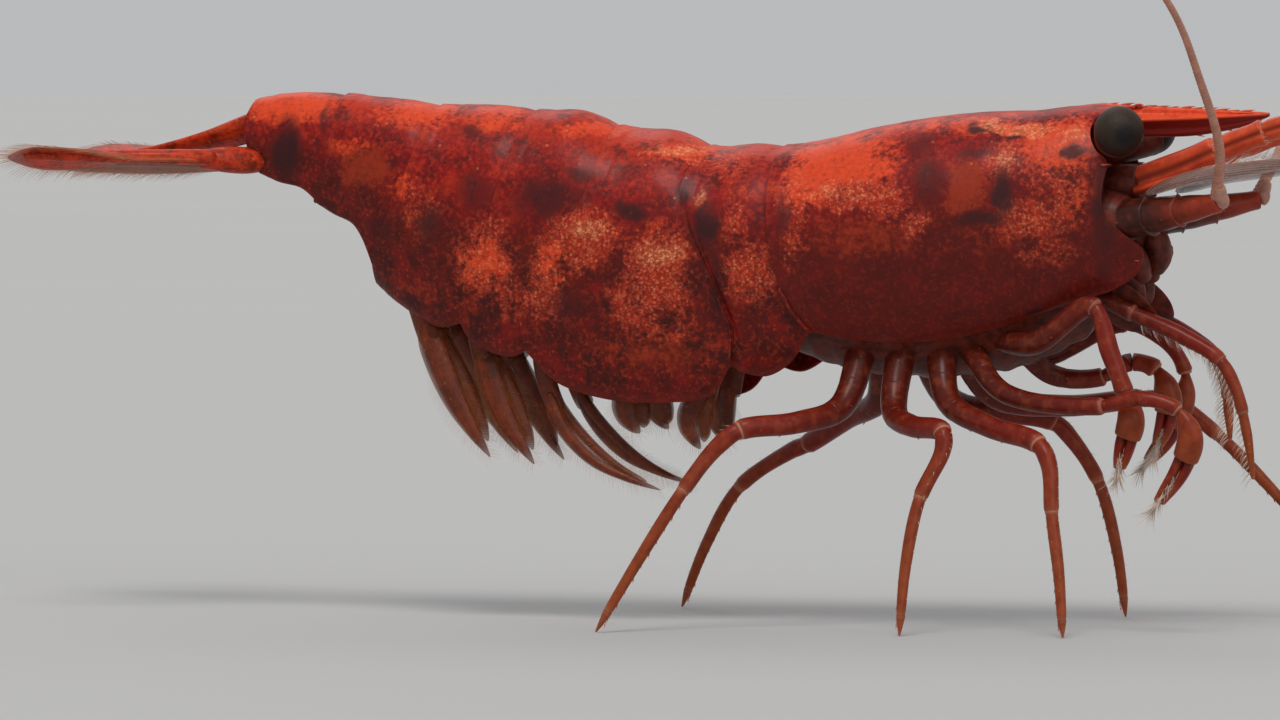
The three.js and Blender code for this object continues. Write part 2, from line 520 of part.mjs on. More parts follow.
const telson = fitted(blade(TELSON_BLADE, 7, OUT), [abdomen[5]]);
addPiece('telson', telson, FIN_RED);
SIDES.forEach(([word, side]) => {
  const outer = fitted(blade(toSide(OUTER_FIN, side), 8, OUT), [abdomen[5], telson]);
  const inner = fitted(blade(toSide(INNER_FIN, side), 7, OUT), [abdomen[5], telson, outer]);
  addPiece(`uropod_outer_${word}`, outer, FIN_RED);
  addPiece(`uropod_inner_${word}`, inner, FIN_RED);

  const placed = [];
  PLEOPOD_PATHS.forEach((rows, i) => {
    const fin = fitted(blade(toSide(rows, side), 6, AHEAD), [...abdomen, thorax, ...placed]);
    placed.push(fin);
    addPiece(`pleopod_${i + 1}_${word}`, fin, FIN_RED);
  });
});

// The origin is the bottom centre of the whole shrimp.
const extent = new THREE.Box3().setFromObject(shrimp);
const middle = extent.getCenter(new THREE.Vector3());
shrimp.position.set(-middle.x, -middle.y, -extent.min.z);
shrimp.updateMatrixWorld(true);

export default shrimp;
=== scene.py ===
"""Red cherry shrimp: the looks of a still, life-size model.

Lengths in this script are millimetres in the shrimp's own frame: +X is ahead of it, +Z is
up, its right side is towards -Y and the floor is at 0. A piece goes into metres, in the
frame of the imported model, when its mesh is made. Only settings are in metres.
"""

import functools
import math
from collections import namedtuple

import bmesh
import bpy
import numpy as np
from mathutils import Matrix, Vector, noise


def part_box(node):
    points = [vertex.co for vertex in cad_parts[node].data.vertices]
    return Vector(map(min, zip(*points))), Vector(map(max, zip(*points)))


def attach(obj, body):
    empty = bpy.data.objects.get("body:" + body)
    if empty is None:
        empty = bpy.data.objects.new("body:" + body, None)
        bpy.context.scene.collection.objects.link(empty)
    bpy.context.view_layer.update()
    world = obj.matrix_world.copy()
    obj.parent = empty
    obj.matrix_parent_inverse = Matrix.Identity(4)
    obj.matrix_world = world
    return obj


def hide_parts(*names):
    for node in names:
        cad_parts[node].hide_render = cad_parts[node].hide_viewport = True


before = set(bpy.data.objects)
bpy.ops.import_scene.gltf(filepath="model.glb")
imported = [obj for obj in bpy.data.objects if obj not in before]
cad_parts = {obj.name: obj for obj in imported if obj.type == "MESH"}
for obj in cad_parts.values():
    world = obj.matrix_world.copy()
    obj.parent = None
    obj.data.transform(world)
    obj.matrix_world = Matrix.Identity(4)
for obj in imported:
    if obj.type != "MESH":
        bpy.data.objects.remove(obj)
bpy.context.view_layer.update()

bl_info = {
    "name": "Red Cherry Shrimp",
    "version": (1, 0, 0),
    "blender": (4, 5, 0),
    "location": "View3D > Sidebar > Shrimp",
    "description": "Shell, limbs, feelers, fins and bristles of a life-size shrimp",
    "category": "Object",
}

# ---- Places and driving sizes ----

MM = 0.001
ROSTRUM_TIP = 14.96
# From the shrimp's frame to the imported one, along X.
FRAME_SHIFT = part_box("rostrum")[1][0] / MM - ROSTRUM_TIP
BODY = "root"
SIDES = (("right", -1), ("left", 1))
OUT = np.array([0.0, 1.0, 0.0])
AHEAD = np.array([1.0, 0.0, 0.0])
UP = np.array([0.0, 0.0, 1.0])

# Body outline stations, [x, value], from the tail to the head.
BACK_LINE = [
    [-9.6, 11.95], [-9.2, 12.12], [-8.4, 12.26], [-7.0, 12.2], [-5.6, 12.1], [-4.6, 11.96], [-3.4, 11.98],
    [-2.3, 11.84], [-1.4, 11.86], [-0.3, 11.46], [0.9, 11.38], [1.9, 11.02], [2.8, 11.1], [3.7, 11.06],
    [4.6, 11.24], [6.0, 11.54], [7.7, 11.8], [9.6, 11.9], [10.7, 12.02], [11.6, 11.98],
]
HALF_WIDTH = [
    [-9.6, 0.72], [-8.4, 0.92], [-7.0, 1.2], [-5.6, 1.52], [-4.0, 1.84], [-2.3, 2.06], [-0.3, 2.22],
    [1.9, 2.24], [3.7, 2.2], [5.5, 2.28], [7.5, 2.26], [9.3, 2.08], [10.7, 1.86], [12.2, 1.62],
]
WIDEST_LEVEL = [
    [-9.6, 11.1], [-8.4, 11.0], [-7.0, 10.7], [-5.6, 10.2], [-4.0, 9.5], [-2.3, 9.0], [-0.3, 8.6],
    [1.9, 8.4], [3.7, 8.7], [5.5, 8.8], [7.5, 8.9], [9.3, 9.2], [10.7, 9.4], [12.2, 9.5],
]
SIDE_REACH = [
    [-9.6, 1.3], [-8.4, 1.5], [-7.0, 2.3], [-5.6, 3.6], [-4.0, 4.4], [-2.3, 5.2], [-0.3, 5.4],
    [1.9, 5.2], [3.7, 4.2], [5.5, 3.5], [9.3, 3.3], [12.2, 2.7],
]
BACK_ROUNDING = 2.2
SIDE_ROUNDING = 2.0
# The soft trunk between the limbs: its ends, and the outline of its underside.
TRUNK_ENDS = (11.3, -9.2)
TRUNK_MESH = {"slices": 190, "sides": 40}
UNDERSIDE = [
    [-9.3, 10.6], [-8.0, 10.35], [-7.0, 9.95], [-5.6, 9.15], [-4.0, 8.35], [-2.3, 7.65], [-0.3, 7.15],
    [1.9, 6.95], [3.2, 6.6], [4.4, 6.1], [5.4, 5.86], [7.0, 5.76], [9.0, 5.98], [10.8, 6.8], [11.6, 7.6],
]

# Plate edges in side view, [x, z] from the back line down to the lower edge.
CARAPACE_FRONT = [
    [12.1, 11.95], [11.6, 11.93], [11.24, 11.83], [11.06, 11.62], [11.05, 11.32], [11.22, 10.98],
    [11.5, 10.72], [11.44, 10.2], [11.46, 9.6], [11.88, 9.12], [12.34, 8.7], [12.18, 8.18],
    [11.5, 7.75],
]
CARAPACE_REAR = [[3.72, 11.06], [3.66, 10.6], [3.68, 9.6], [3.8, 8.6], [4.1, 7.5], [4.6, 6.8]]
CARAPACE_LOWER = [
    [11.5, 7.75], [10.4, 7.4], [9.1, 6.95], [7.9, 6.65], [6.6, 6.55], [5.5, 6.62], [4.6, 6.8],
]
SEAM_1_2 = [[1.9, 11.02], [1.72, 10.6], [1.58, 10.0], [1.7, 9.3], [2.2, 8.2], [2.75, 6.9], [2.7, 6.0]]
SEAM_2_3 = [
    [-0.3, 11.46], [-0.5, 10.6], [-0.72, 9.95], [-1.2, 9.2], [-1.85, 8.3], [-2.3, 7.2], [-2.25, 6.3],
]
SEAM_3_4 = [[-2.3, 11.84], [-2.57, 10.95], [-2.9, 9.8], [-3.35, 8.65], [-3.8, 7.6], [-3.9, 6.9]]
SEAM_4_5 = [[-4.6, 11.96], [-4.88, 11.1], [-5.28, 10.1], [-5.75, 9.2], [-6.15, 8.4], [-6.2, 7.8]]
SEAM_5_6 = [[-6.95, 12.2], [-7.1, 11.35], [-7.25, 10.6], [-7.55, 10.05], [-7.7, 9.7]]
TAIL_END = [[-9.25, 12.1], [-9.4, 11.5], [-9.3, 10.9], [-9.05, 10.35]]
SEAMS = [CARAPACE_REAR, SEAM_1_2, SEAM_2_3, SEAM_3_4, SEAM_4_5, SEAM_5_6, TAIL_END]
LOWER_EDGES = [
    [[4.6, 6.8], [4.1, 6.1], [3.5, 5.75], [2.95, 5.85], [2.7, 6.0]],
    [[2.7, 6.0], [2.2, 5.3], [1.0, 5.12], [-0.4, 5.2], [-1.6, 5.6], [-2.25, 6.3]],
    [[-2.25, 6.3], [-2.6, 6.15], [-3.2, 6.25], [-3.7, 6.5], [-3.9, 6.9]],
    [[-3.9, 6.9], [-4.5, 6.8], [-5.2, 7.1], [-5.8, 7.45], [-6.2, 7.8]],
    [[-6.2, 7.8], [-6.34, 8.5], [-6.66, 9.15], [-7.2, 9.42], [-7.7, 9.7]],
    [[-7.7, 9.7], [-8.0, 10.0], [-8.6, 10.15], [-9.05, 10.35]],
]
# How far each ring's front and rear margins stand out, at the back and at the lower edge.
# The second ring's sides lie over both of its neighbours'.
MARGIN_LIFTS = [
    ((-0.04, -0.05), (0.03, -0.04)),
    ((-0.04, 0.05), (0.035, 0.045)),
    ((-0.04, -0.04), (0.03, 0.03)),
    ((-0.04, -0.04), (0.03, 0.03)),
    ((-0.04, -0.04), (0.03, 0.025)),
    ((-0.04, -0.03), (0.02, 0.015)),
]
# Fineness of the plates' meshes: slices from front to rear, and ribs down each side.
CARAPACE_MESH = {"slices": 150, "ribs": 64}
RING_MESH = {"slices": 70, "ribs": 60}
# How far a plate's rear runs on over the next one: the carapace and rings, and the last ring.
REAR_RUN = 0.12
LAST_REAR_RUN = 0.05
# Relief of a plate: how wide its raised margins are, the groove before its rear rim as
# place, width and depth, how far its lower edge is tucked in, and its unevenness as scale,
# height and offset.
FRONT_MARGIN = 0.55
REAR_MARGIN = 0.8
RIM_GROOVE = (0.3, 0.08, 0.01)
LOWER_TUCK = 0.03
PLATE_UNEVENNESS = ((1.1, 0.02, 0.0), (3.0, 0.008, 9.0))

# Rostrum rows: x, top edge, ridge level, lower edge, half width at the ridge.
ROSTRUM_ROWS = [
    [9.9, 11.8, 11.45, 11.2, 0.5], [10.5, 11.98, 11.5, 11.2, 0.72], [11.0, 12.05, 11.56, 11.22, 0.66],
    [11.5, 12.02, 11.62, 11.26, 0.44], [12.2, 11.98, 11.66, 11.27, 0.31],
    [13.2, 11.94, 11.7, 11.31, 0.25], [14.1, 11.89, 11.75, 11.46, 0.19],
    [14.7, 11.86, 11.79, 11.64, 0.11], [14.95, 11.84, 11.8, 11.76, 0.03],
]
# Slices of the rostrum: from, to and count. They close up towards the tip.
ROSTRUM_SLICES = ((9.9, 14.2, 110), (14.22, 14.95, 30))
ROSTRUM_END = 14.95
# Length over which the rostrum narrows to its point.
ROSTRUM_POINT = 0.5
ROSTRUM_SIDE_POINTS = 25
# Rows of teeth: first and last x, count, the edge's column in the rostrum rows, how far the
# roots stand above the edge, how much the teeth lean up, and their reach.
ROSTRUM_TEETH = ((10.35, 14.3, 15, 1, -0.04, 0.34, 0.3), (13.2, 14.3, 4, 3, 0.05, -0.4, 0.24))
# Spines beside the eye and at the carapace's lower corner: root, lean and reach.
HEAD_SPINES = (
    ([11.4, 1.62, 10.66], [1.0, 0.05, -0.05], 0.24),
    ([12.1, 1.5, 8.5], [1.0, 0.1, -0.3], 0.2),
)

EYE_CENTRE = (11.8, 1.62, 11.42)
EYE_RADIUS = 0.57
EYESTALK = [
    [10.9, 0.42, 10.98, 0.3], [11.3, 0.8, 11.05, 0.38], [11.58, 1.2, 11.2, 0.46],
    [11.72, 1.46, 11.33, 0.54],
]

# Limb rows are [x, y, z, radius], with y as on the left side; the right side's is negative.
CLAW_LEGS = {
    "leg_1_right": [
        [8.7, 1.0, 6.1, 0.34], [9.9, 1.7, 6.6, 0.31], [11.3, 2.1, 7.45, 0.29],
        [11.75, 2.25, 6.4, 0.27], [12.1, 2.3, 5.5, 0.24], [12.25, 2.3, 4.9, 0.3],
        [12.1, 2.25, 4.3, 0.3], [11.95, 2.2, 3.75, 0.1],
    ],
    "leg_1_left": [
        [8.7, 1.0, 6.1, 0.34], [9.5, 1.5, 5.75, 0.28], [10.6, 1.65, 5.7, 0.27],
        [11.3, 1.65, 6.05, 0.26], [11.9, 1.65, 5.9, 0.24], [12.2, 1.65, 5.3, 0.3],
        [12.15, 1.65, 4.7, 0.3], [11.95, 1.65, 4.1, 0.1],
    ],
    "leg_2_right": [
        [8.1, 1.1, 5.9, 0.34], [9.2, 1.9, 5.45, 0.27], [11.6, 2.75, 5.2, 0.25], [12.6, 2.9, 5.4, 0.22],
        [13.45, 2.9, 5.15, 0.2], [13.75, 2.85, 4.55, 0.28], [13.5, 2.7, 3.8, 0.3],
        [12.95, 2.6, 3.0, 0.1],
    ],
    "leg_2_left": [
        [8.1, 1.1, 5.9, 0.34], [9.2, 2.0, 6.15, 0.27], [10.9, 2.6, 6.9, 0.25], [11.9, 2.75, 6.5, 0.22],
        [12.35, 2.75, 5.8, 0.2], [12.3, 2.7, 5.1, 0.28], [11.95, 2.65, 4.3, 0.3],
        [11.5, 2.6, 3.7, 0.1],
    ],
}
WALKING_LEGS = {
    "leg_3_right": [
        [7.4, 1.1, 5.8, 0.36], [7.8, 1.6, 5.25, 0.3], [9.0, 2.5, 4.7, 0.29], [10.3, 3.2, 4.35, 0.26],
        [10.6, 3.4, 3.9, 0.21], [10.72, 3.6, 2.8, 0.17], [10.95, 3.85, 1.4, 0.14],
        [11.1, 4.05, -0.2, 0.09],
    ],
    "leg_3_left": [
        [7.4, 1.1, 5.8, 0.36], [8.1, 1.6, 5.25, 0.3], [9.6, 2.4, 5.0, 0.29], [11.2, 3.1, 5.15, 0.26],
        [11.9, 3.3, 5.1, 0.21], [13.0, 3.45, 4.3, 0.17], [14.2, 3.55, 3.1, 0.14],
        [15.1, 3.6, 2.1, 0.09],
    ],
    "leg_4_right": [
        [6.5, 1.1, 5.8, 0.36], [6.55, 1.7, 5.0, 0.3], [7.2, 2.6, 4.7, 0.29], [8.1, 3.35, 4.6, 0.26],
        [8.15, 3.5, 4.2, 0.21], [7.7, 3.85, 3.1, 0.17], [7.45, 4.15, 1.6, 0.14],
        [7.35, 4.4, -0.2, 0.09],
    ],
    "leg_4_left": [
        [6.5, 1.1, 5.8, 0.36], [7.0, 1.7, 5.15, 0.3], [8.0, 2.5, 4.85, 0.29], [9.1, 3.2, 4.6, 0.26],
        [9.5, 3.35, 4.2, 0.21], [10.1, 3.55, 3.2, 0.17], [10.5, 3.75, 1.6, 0.14],
        [10.7, 3.95, -0.2, 0.09],
    ],
    "leg_5_right": [
        [5.6, 1.1, 5.85, 0.36], [5.3, 1.7, 5.1, 0.3], [4.5, 2.8, 4.75, 0.29], [3.4, 3.6, 4.6, 0.26],
        [2.9, 3.8, 4.2, 0.21], [2.2, 4.2, 3.2, 0.17], [1.25, 4.6, 1.6, 0.14], [0.25, 5.0, -0.2, 0.09],
    ],
    "leg_5_left": [
        [5.6, 1.1, 5.85, 0.36], [5.3, 1.7, 5.15, 0.3], [4.3, 2.7, 4.65, 0.29], [3.1, 3.55, 4.0, 0.26],
        [2.6, 3.8, 3.8, 0.21], [1.2, 4.3, 2.9, 0.17], [0.3, 4.6, 1.5, 0.14], [-0.45, 4.9, -0.2, 0.09],
    ],
}
MAXILLIPEDS = {
    "maxilliped_right": [
        [11.0, 0.75, 7.75, 0.24], [11.9, 0.95, 7.3, 0.22], [13.2, 1.15, 6.75, 0.21],
        [14.05, 1.25, 6.25, 0.18], [14.45, 1.3, 5.6, 0.155], [14.7, 1.25, 4.6, 0.13],
        [14.85, 1.2, 3.5, 0.05],
    ],
    "maxilliped_left": [
        [11.0, 0.65, 7.75, 0.24], [11.7, 0.8, 7.3, 0.22], [12.7, 0.9, 6.8, 0.21],
        [13.4, 0.95, 6.3, 0.18], [13.7, 0.95, 5.7, 0.155], [13.8, 0.9, 5.0, 0.13],
        [13.85, 0.85, 4.3, 0.05],
    ],
}
# Lengths of a limb: where each begins and ends, in rows along its path, the share of its
# radius at its neck and at its flared end, and how pale its ends are.
WALKING_LENGTHS = (
    (0.0, 0.66, 0.98, 1.0, 0.0), (0.52, 1.32, 0.98, 1.0, 0.0), (1.16, 3.05, 0.97, 1.02, 0.3),
    (2.98, 5.01, 0.84, 1.08, 0.3), (4.94, 6.66, 0.9, 1.02, 0.3),
)
CLAW_LENGTHS = (
    (0.0, 0.54, 0.98, 1.0, 0.1), (0.4, 1.28, 0.98, 1.0, 0.1), (1.14, 2.09, 0.97, 1.02, 0.1),
    (2.03, 4.04, 0.7, 1.12, 0.1),
)
MAXILLIPED_LENGTHS = (
    (0.0, 1.1, 0.9, 1.05, 0.2), (1.02, 3.1, 0.85, 1.08, 0.2), (3.03, 4.6, 0.85, 1.1, 0.2),
    (4.54, 5.99, 0.85, 1.0, 0.2),
)
ANTENNULE_LENGTHS = (
    (0.0, 2.06, 0.92, 1.08, 0.2), (1.98, 3.05, 0.8, 1.14, 0.2), (2.98, 3.95, 0.8, 1.18, 0.2),
)
ANTENNA_LENGTHS = (
    (0.0, 1.1, 0.96, 1.03, 0.0), (1.0, 2.0, 0.94, 1.04, 0.0), (1.92, 2.98, 0.92, 1.08, 0.0),
)
# Skin in the joints: where it shows, in rows along the path, and how pale it is.
# The knees' strong paleness also paints the glint on each knee, a painted highlight.
WALKING_JOINTS = ((0.6, 0.0), (1.26, 0.0), (3.02, 0.8), (4.98, 0.45), (6.64, 0.2))
CLAW_JOINTS = ((0.47, 0.0), (1.21, 0.0), (2.06, 0.4), (4.02, 0.6))
MAXILLIPED_JOINTS = ((1.05, 0.3), (3.06, 0.3), (4.57, 0.3))
ANTENNULE_JOINTS = ((2.02, 0.3), (3.02, 0.3))
ANTENNA_JOINTS = ((1.03, 0.1), (1.95, 0.1))
# How a limb's first row goes into the trunk: the share of its y that is left, and its rise.
WALKING_ROOT = (0.66, 0.8)
CLAW_ROOT = (0.8, 0.55)
PLEOPOD_ROOT = (0.95, 0.5)
# Shares of the rows' radii that the finished limbs have.
WALKING_GIRTHS = (1.0, 1.0, 0.88, 0.9, 0.93, 0.94, 0.94, 1.0)
CLAW_GIRTHS = (0.84, 0.86, 0.8, 0.82, 0.86, 1.0, 1.0, 1.0)
FOOT_START = 6.6
CLAW_PALM = (3.98, 5.75)
CLAW_FINGERS = (5.5, 7.0)
# The two fingers of a claw: side, and share of the full length.
FINGER_SIDES = ((-1, 1.0), (1, 0.97))
FINGER_POINTS = 7
BRUSHES_ON_FINGER = 14
BRISTLES_IN_BRUSH = 7
# Rows of spines under a walking leg and of hairs over it: from, to, count and reach. The
# foot's own row has no end here, because it ends where the foot does.
THIGH_SPINES = (1.6, 2.9, 3, 0.18)
SHIN_SPINES = (5.15, 6.5, 9, 0.13)
FOOT_SPINES = (6.66, 4, 0.09)
LEG_HAIRS = (3.2, 6.4, 16, 0.16)
# Rows of hair on a feeding limb: from, to, count and reach.
MAXILLIPED_HAIRS = ((1.3, 3.0, 9, 0.3), (3.15, 4.5, 9, 0.34), (4.65, 5.95, 12, 0.34))
HAIRS_IN_TUFT = 6

# The face: its core, its lip and its swellings. A cushion goes with how flat it is.
FACE_CORE = [
    [10.6, 0, 9.35, 1.28], [11.2, 0, 9.3, 1.2], [11.7, 0, 9.2, 0.94], [12.0, 0, 9.1, 0.66],
    [12.25, 0, 9.0, 0.36],
]
LIP = [[11.7, 0, 9.2, 0.4], [12.2, 0, 8.98, 0.42], [12.36, 0, 8.55, 0.38], [12.25, 0, 8.15, 0.26]]
FEELER_CUSHION = [
    [10.9, 0.42, 10.15, 0.42], [11.5, 0.55, 10.2, 0.47], [11.9, 0.6, 10.24, 0.45],
    [12.12, 0.64, 10.28, 0.4],
]
ANTENNA_CUSHION = [
    [10.7, 0.85, 9.5, 0.6], [11.3, 1.0, 9.44, 0.68], [11.7, 1.12, 9.4, 0.66], [11.95, 1.2, 9.4, 0.58],
]
CHIN = [
    [11.0, 0.4, 9.0, 0.5], [11.55, 0.55, 8.75, 0.52], [11.95, 0.5, 8.35, 0.42], [12.1, 0.36, 7.95, 0.24],
]
CHEEK = [
    [10.8, 1.05, 8.7, 0.4], [11.2, 1.15, 8.45, 0.42], [11.5, 1.05, 8.1, 0.34], [11.6, 0.85, 7.8, 0.2],
]
JAW = [
    [11.4, 0.62, 8.4, 0.3], [11.75, 0.55, 8.0, 0.34], [11.9, 0.4, 7.6, 0.26], [11.85, 0.2, 7.35, 0.14],
]
FACE_CUSHIONS = ((FEELER_CUSHION, 0.95), (ANTENNA_CUSHION, 0.95), (CHIN, 0.8), (CHEEK, 0.75))
# Thin blades in front of the mouth, each with its turn about its path in radians.
OUTER_MOUTH_BLADE = [
    [11.2, 0.95, 8.1, 0.2], [11.7, 1.0, 7.75, 0.34], [12.15, 0.9, 7.4, 0.3], [12.5, 0.72, 7.05, 0.12],
]
INNER_MOUTH_BLADE = [
    [11.0, 0.7, 7.9, 0.2], [11.4, 0.7, 7.4, 0.32], [11.8, 0.6, 7.05, 0.26], [12.1, 0.42, 6.85, 0.1],
]
MOUTH_BLADES = ((OUTER_MOUTH_BLADE, 0.9), (INNER_MOUTH_BLADE, 1.1))
MOUTH_BLADE_THICKNESS = 0.14

ANTENNULE_STALK = [
    [11.95, 0.62, 10.25, 0.36], [13.0, 0.78, 10.6, 0.35], [13.9, 0.88, 10.98, 0.31],
    [15.0, 0.95, 11.4, 0.27], [15.7, 0.98, 11.62, 0.22],
]
ANTENNULE_UPPER = [
    [15.55, 0.98, 11.66, 0.14], [18.4, 1.6, 12.9, 0.12], [21.6, 2.9, 14.9, 0.08],
    [24.2, 4.6, 17.3, 0.03],
]
ANTENNULE_LOWER = [
    [15.55, 0.98, 11.52, 0.12], [18.6, 1.9, 11.9, 0.1], [22.0, 3.6, 12.7, 0.07],
    [25.2, 5.9, 14.1, 0.03],
]
ANTENNULE_GUARD = [[12.0, 0.95, 10.05, 0.15], [12.6, 1.12, 10.22, 0.13], [13.6, 1.2, 10.58, 0.03]]
# Rings of hair at the ends of the stalk's lengths: where, in rows, and reach.
ANTENNULE_HAIRS = ((2.0, 0.16), (3.0, 0.15), (3.9, 0.14))
ANTENNA_STALK = [
    [11.75, 1.15, 9.4, 0.55], [12.5, 1.45, 9.5, 0.5], [13.3, 1.8, 9.62, 0.38], [14.3, 2.1, 9.83, 0.23],
]
# What carries the long feeler: it starts as the stalk does, more slender, and bends up.
ANTENNA_COLLAR_GIRTH = 0.74
ANTENNA_COLLAR_END = [[14.31, 2.28, 10.0, 0.155], [14.35, 2.46, 10.2, 0.13]]
ANTENNA_WHIP = [
    [14.15, 2.08, 9.83, 0.15], [14.5, 3.2, 11.0, 0.12], [14.45, 5.0, 12.6, 0.1],
    [14.2, 7.0, 14.3, 0.085], [12.9, 9.6, 16.6, 0.07], [10.2, 12.1, 18.7, 0.058],
    [6.4, 14.0, 20.0, 0.046], [2.2, 15.2, 20.3, 0.034], [-2.0, 15.8, 19.6, 0.02],
]
FEELER_POINTS = 240
FEELER_SIDES = 10

# Blade rows are [x, y, z, half width].
PLEOPODS = [
    [[2.3, 0.85, 6.8, 0.3], [1.9, 1.0, 5.6, 0.44], [1.65, 1.1, 4.7, 0.4], [1.8, 1.1, 4.05, 0.12]],
    [[0.1, 0.9, 6.9, 0.34], [0.1, 1.05, 5.7, 0.5], [0.15, 1.1, 4.9, 0.44], [0.35, 1.1, 4.4, 0.14]],
    [
        [-2.0, 0.85, 7.4, 0.32], [-2.0, 1.1, 5.9, 0.34], [-1.5, 1.2, 4.7, 0.27],
        [-0.5, 1.25, 3.7, 0.2], [0.9, 1.3, 3.1, 0.08],
    ],
    [[-3.9, 0.75, 8.15, 0.36], [-3.5, 0.95, 6.5, 0.5], [-2.9, 1.05, 5.0, 0.44], [-2.2, 1.1, 3.65, 0.1]],
    [[-5.7, 0.6, 8.95, 0.34], [-5.0, 0.8, 7.2, 0.5], [-4.1, 0.95, 5.3, 0.46], [-3.3, 1.0, 3.8, 0.1]],
]
# Two blades of a swimming limb: bow ahead, place outwards, share of the width and end.
PLEOPOD_BLADES = ((-0.15, 0.12, 0.66, 1.0), (0.18, -0.1, 0.5, 0.92))
PLEOPOD_BLADE_START = 0.36
PLEOPOD_STALK = {"width": 0.72, "end": 0.46}
TELSON = [
    [-8.7, 0, 11.7, 0.58], [-9.4, 0, 11.52, 0.62], [-10.5, 0, 11.17, 0.56], [-11.9, 0, 10.86, 0.42],
    [-13.35, 0, 10.7, 0.2],
]
TELSON_THICKNESS = 0.85
TELSON_SPINE_PLACES = (0.34, 0.5, 0.64, 0.78)
OUTER_FIN = [
    [-9.9, 1.3, 10.7, 0.32], [-10.9, 1.66, 10.72, 0.52], [-12.2, 1.98, 10.73, 0.7],
    [-13.8, 2.2, 10.74, 0.66], [-14.74, 2.3, 10.72, 0.3],
]
OUTER_FIN_TURN = (0.05, 0.0, 0.0, -0.3, -0.46, -0.4)
INNER_FIN = [
    [-9.7, 0.62, 10.52, 0.24], [-10.8, 0.86, 10.5, 0.44], [-12.4, 1.04, 10.5, 0.54],
    [-14.2, 1.14, 10.5, 0.24],
]
FIN_ROOT = [
    [-8.85, 0.3, 10.62, 0.26], [-9.38, 0.76, 10.66, 0.37], [-9.9, 1.16, 10.69, 0.34],
    [-10.35, 1.42, 10.7, 0.22],
]
ANTENNAL_SCALE = [
    [12.4, 1.5, 10.0, 0.26], [13.3, 1.72, 10.35, 0.5], [14.8, 1.85, 10.6, 0.56],
    [16.2, 1.78, 10.8, 0.2],
]

# Sun lamps: name, the way to the lamp, power, spread in degrees and tone.
LIGHTS = (
    ("key_light", (0.1, -0.6, 1.0), 1.25, 24, (1.0, 0.985, 0.96)),
    ("front_light", (0.8, -0.9, 0.45), 0.45, 40, (0.97, 0.985, 1.0)),
    ("back_light", (-0.5, 0.9, 0.9), 0.24, 30, (1.0, 0.985, 0.97)),
)
AIR_COLOUR = (0.97, 0.985, 1.0, 1.0)
AIR_STRENGTH = 0.5
FLOOR_RADIUS = 1500
VIEW_LEVEL = 6.05

# ---- Settings ----


def colour(name, description, default):
    return bpy.props.FloatVectorProperty(
        name=name, description=description, subtype="COLOR", size=3, min=0.0, max=1.0, default=default
    )


def length(name, description, default):
    return bpy.props.FloatProperty(
        name=name, description=description, subtype="DISTANCE", unit="LENGTH", precision=6, min=0.0,
        default=default,
    )


class ShrimpShellSettings(bpy.types.PropertyGroup):
    thickness: length("Shell Thickness", "Wall of the shell plates", 0.00006)
    overlap: length("Ring Overlap", "How far a ring's front runs in under the plate before it", 0.0003)
    back: colour("Back", "Orange red along the back", (0.6, 0.036, 0.008))
    # The flank and skirt colours are partly the shell's deeper red, partly painted shade of the lower
    # sides.
    flank_with_shade: colour("Flank", "Deep red of the sides", (0.25, 0.0045, 0.003))
    skirt_with_shade: colour("Skirt", "Maroon of the lower edges", (0.1, 0.0045, 0.0018))
    blotch: colour("Blotch", "Deep red blotches", (0.075, 0.004, 0.004))
    grain: colour("Grain", "Deep red grain", (0.07, 0.004, 0.004))
    skirt_blotch: colour("Skirt Blotch", "Brown black blotches of the lower edges", (0.03, 0.003, 0.002))
    salmon: colour("Salmon", "Smooth orange patches", (0.8, 0.07, 0.015))
    speckle: colour("Speckle", "Pale grains in the patches", (0.8, 0.22, 0.1))
    cream: colour("Cream", "Pale marks on the back", (0.84, 0.36, 0.16))
    amber: colour("Amber", "Brown that shows through the clearer parts", (0.33, 0.03, 0.006))
    # Brown black blotches, and painted shade along the carapace's front and rear edges and along the seam
    # of the first two rings.
    shadow: colour("Dark Marks", "Brown black blotches", (0.03, 0.006, 0.007))
    # The rims are paled only towards the back: partly their own paler colour, partly painted highlight.
    rim: colour("Rim", "Pale rear rims of the rings", (0.6, 0.1, 0.035))
    hem: colour("Hem", "Clearer red along the lower edge", (0.2, 0.02, 0.008))
    # The rostrum's lower half: partly its own dark red, partly painted shade below the ridges.
    keel: colour("Keel", "Dark red of the rostrum's lower half", (0.2, 0.009, 0.005))


class ShrimpLimbSettings(bpy.types.PropertyGroup):
    limb: colour("Limb", "Red brown of the legs", (0.2, 0.013, 0.005))
    foot: colour("Foot", "Clearer orange brown towards the feet", (0.27, 0.052, 0.012))
    # Pale joint skin, which on the legs' knees also paints their glint as a painted highlight.
    joint: colour("Joint", "Pale skin in the joints", (0.62, 0.27, 0.17))
    # Flesh is kept dark also as painted shade: on the underside, the face and the limbs' roots under the
    # body.
    flesh: colour("Flesh", "Brown skin of the underside and the face", (0.055, 0.008, 0.004))


class ShrimpFinSettings(bpy.types.PropertyGroup):
    fin: colour("Fin", "Orange red of the telson and the outer tail fins", (0.6, 0.042, 0.008))
    fin_edge: colour("Fin Edge", "Pale edge of the outer tail fins", (0.62, 0.2, 0.08))
    inner: colour("Inner Fin", "Clearer red brown of the inner tail fins", (0.32, 0.06, 0.012))
    inner_edge: colour("Inner Fin Edge", "Pale edge of the inner tail fins", (0.5, 0.26, 0.09))
    blade: colour("Swimming Limb", "Brown red of the swimming limbs", (0.17, 0.027, 0.007))
    blade_edge: colour("Swimming Limb Edge", "Clearer edge of the swimming limbs", (0.42, 0.15, 0.03))
    scale: colour("Antennal Scale", "Clear brown of the antennal scales", (0.2, 0.1, 0.08))
    scale_edge: colour("Antennal Scale Edge", "Pale edge of the antennal scales", (0.62, 0.56, 0.52))
    thickness: length("Blade Thickness", "Thickest part of a blade", 0.00017)


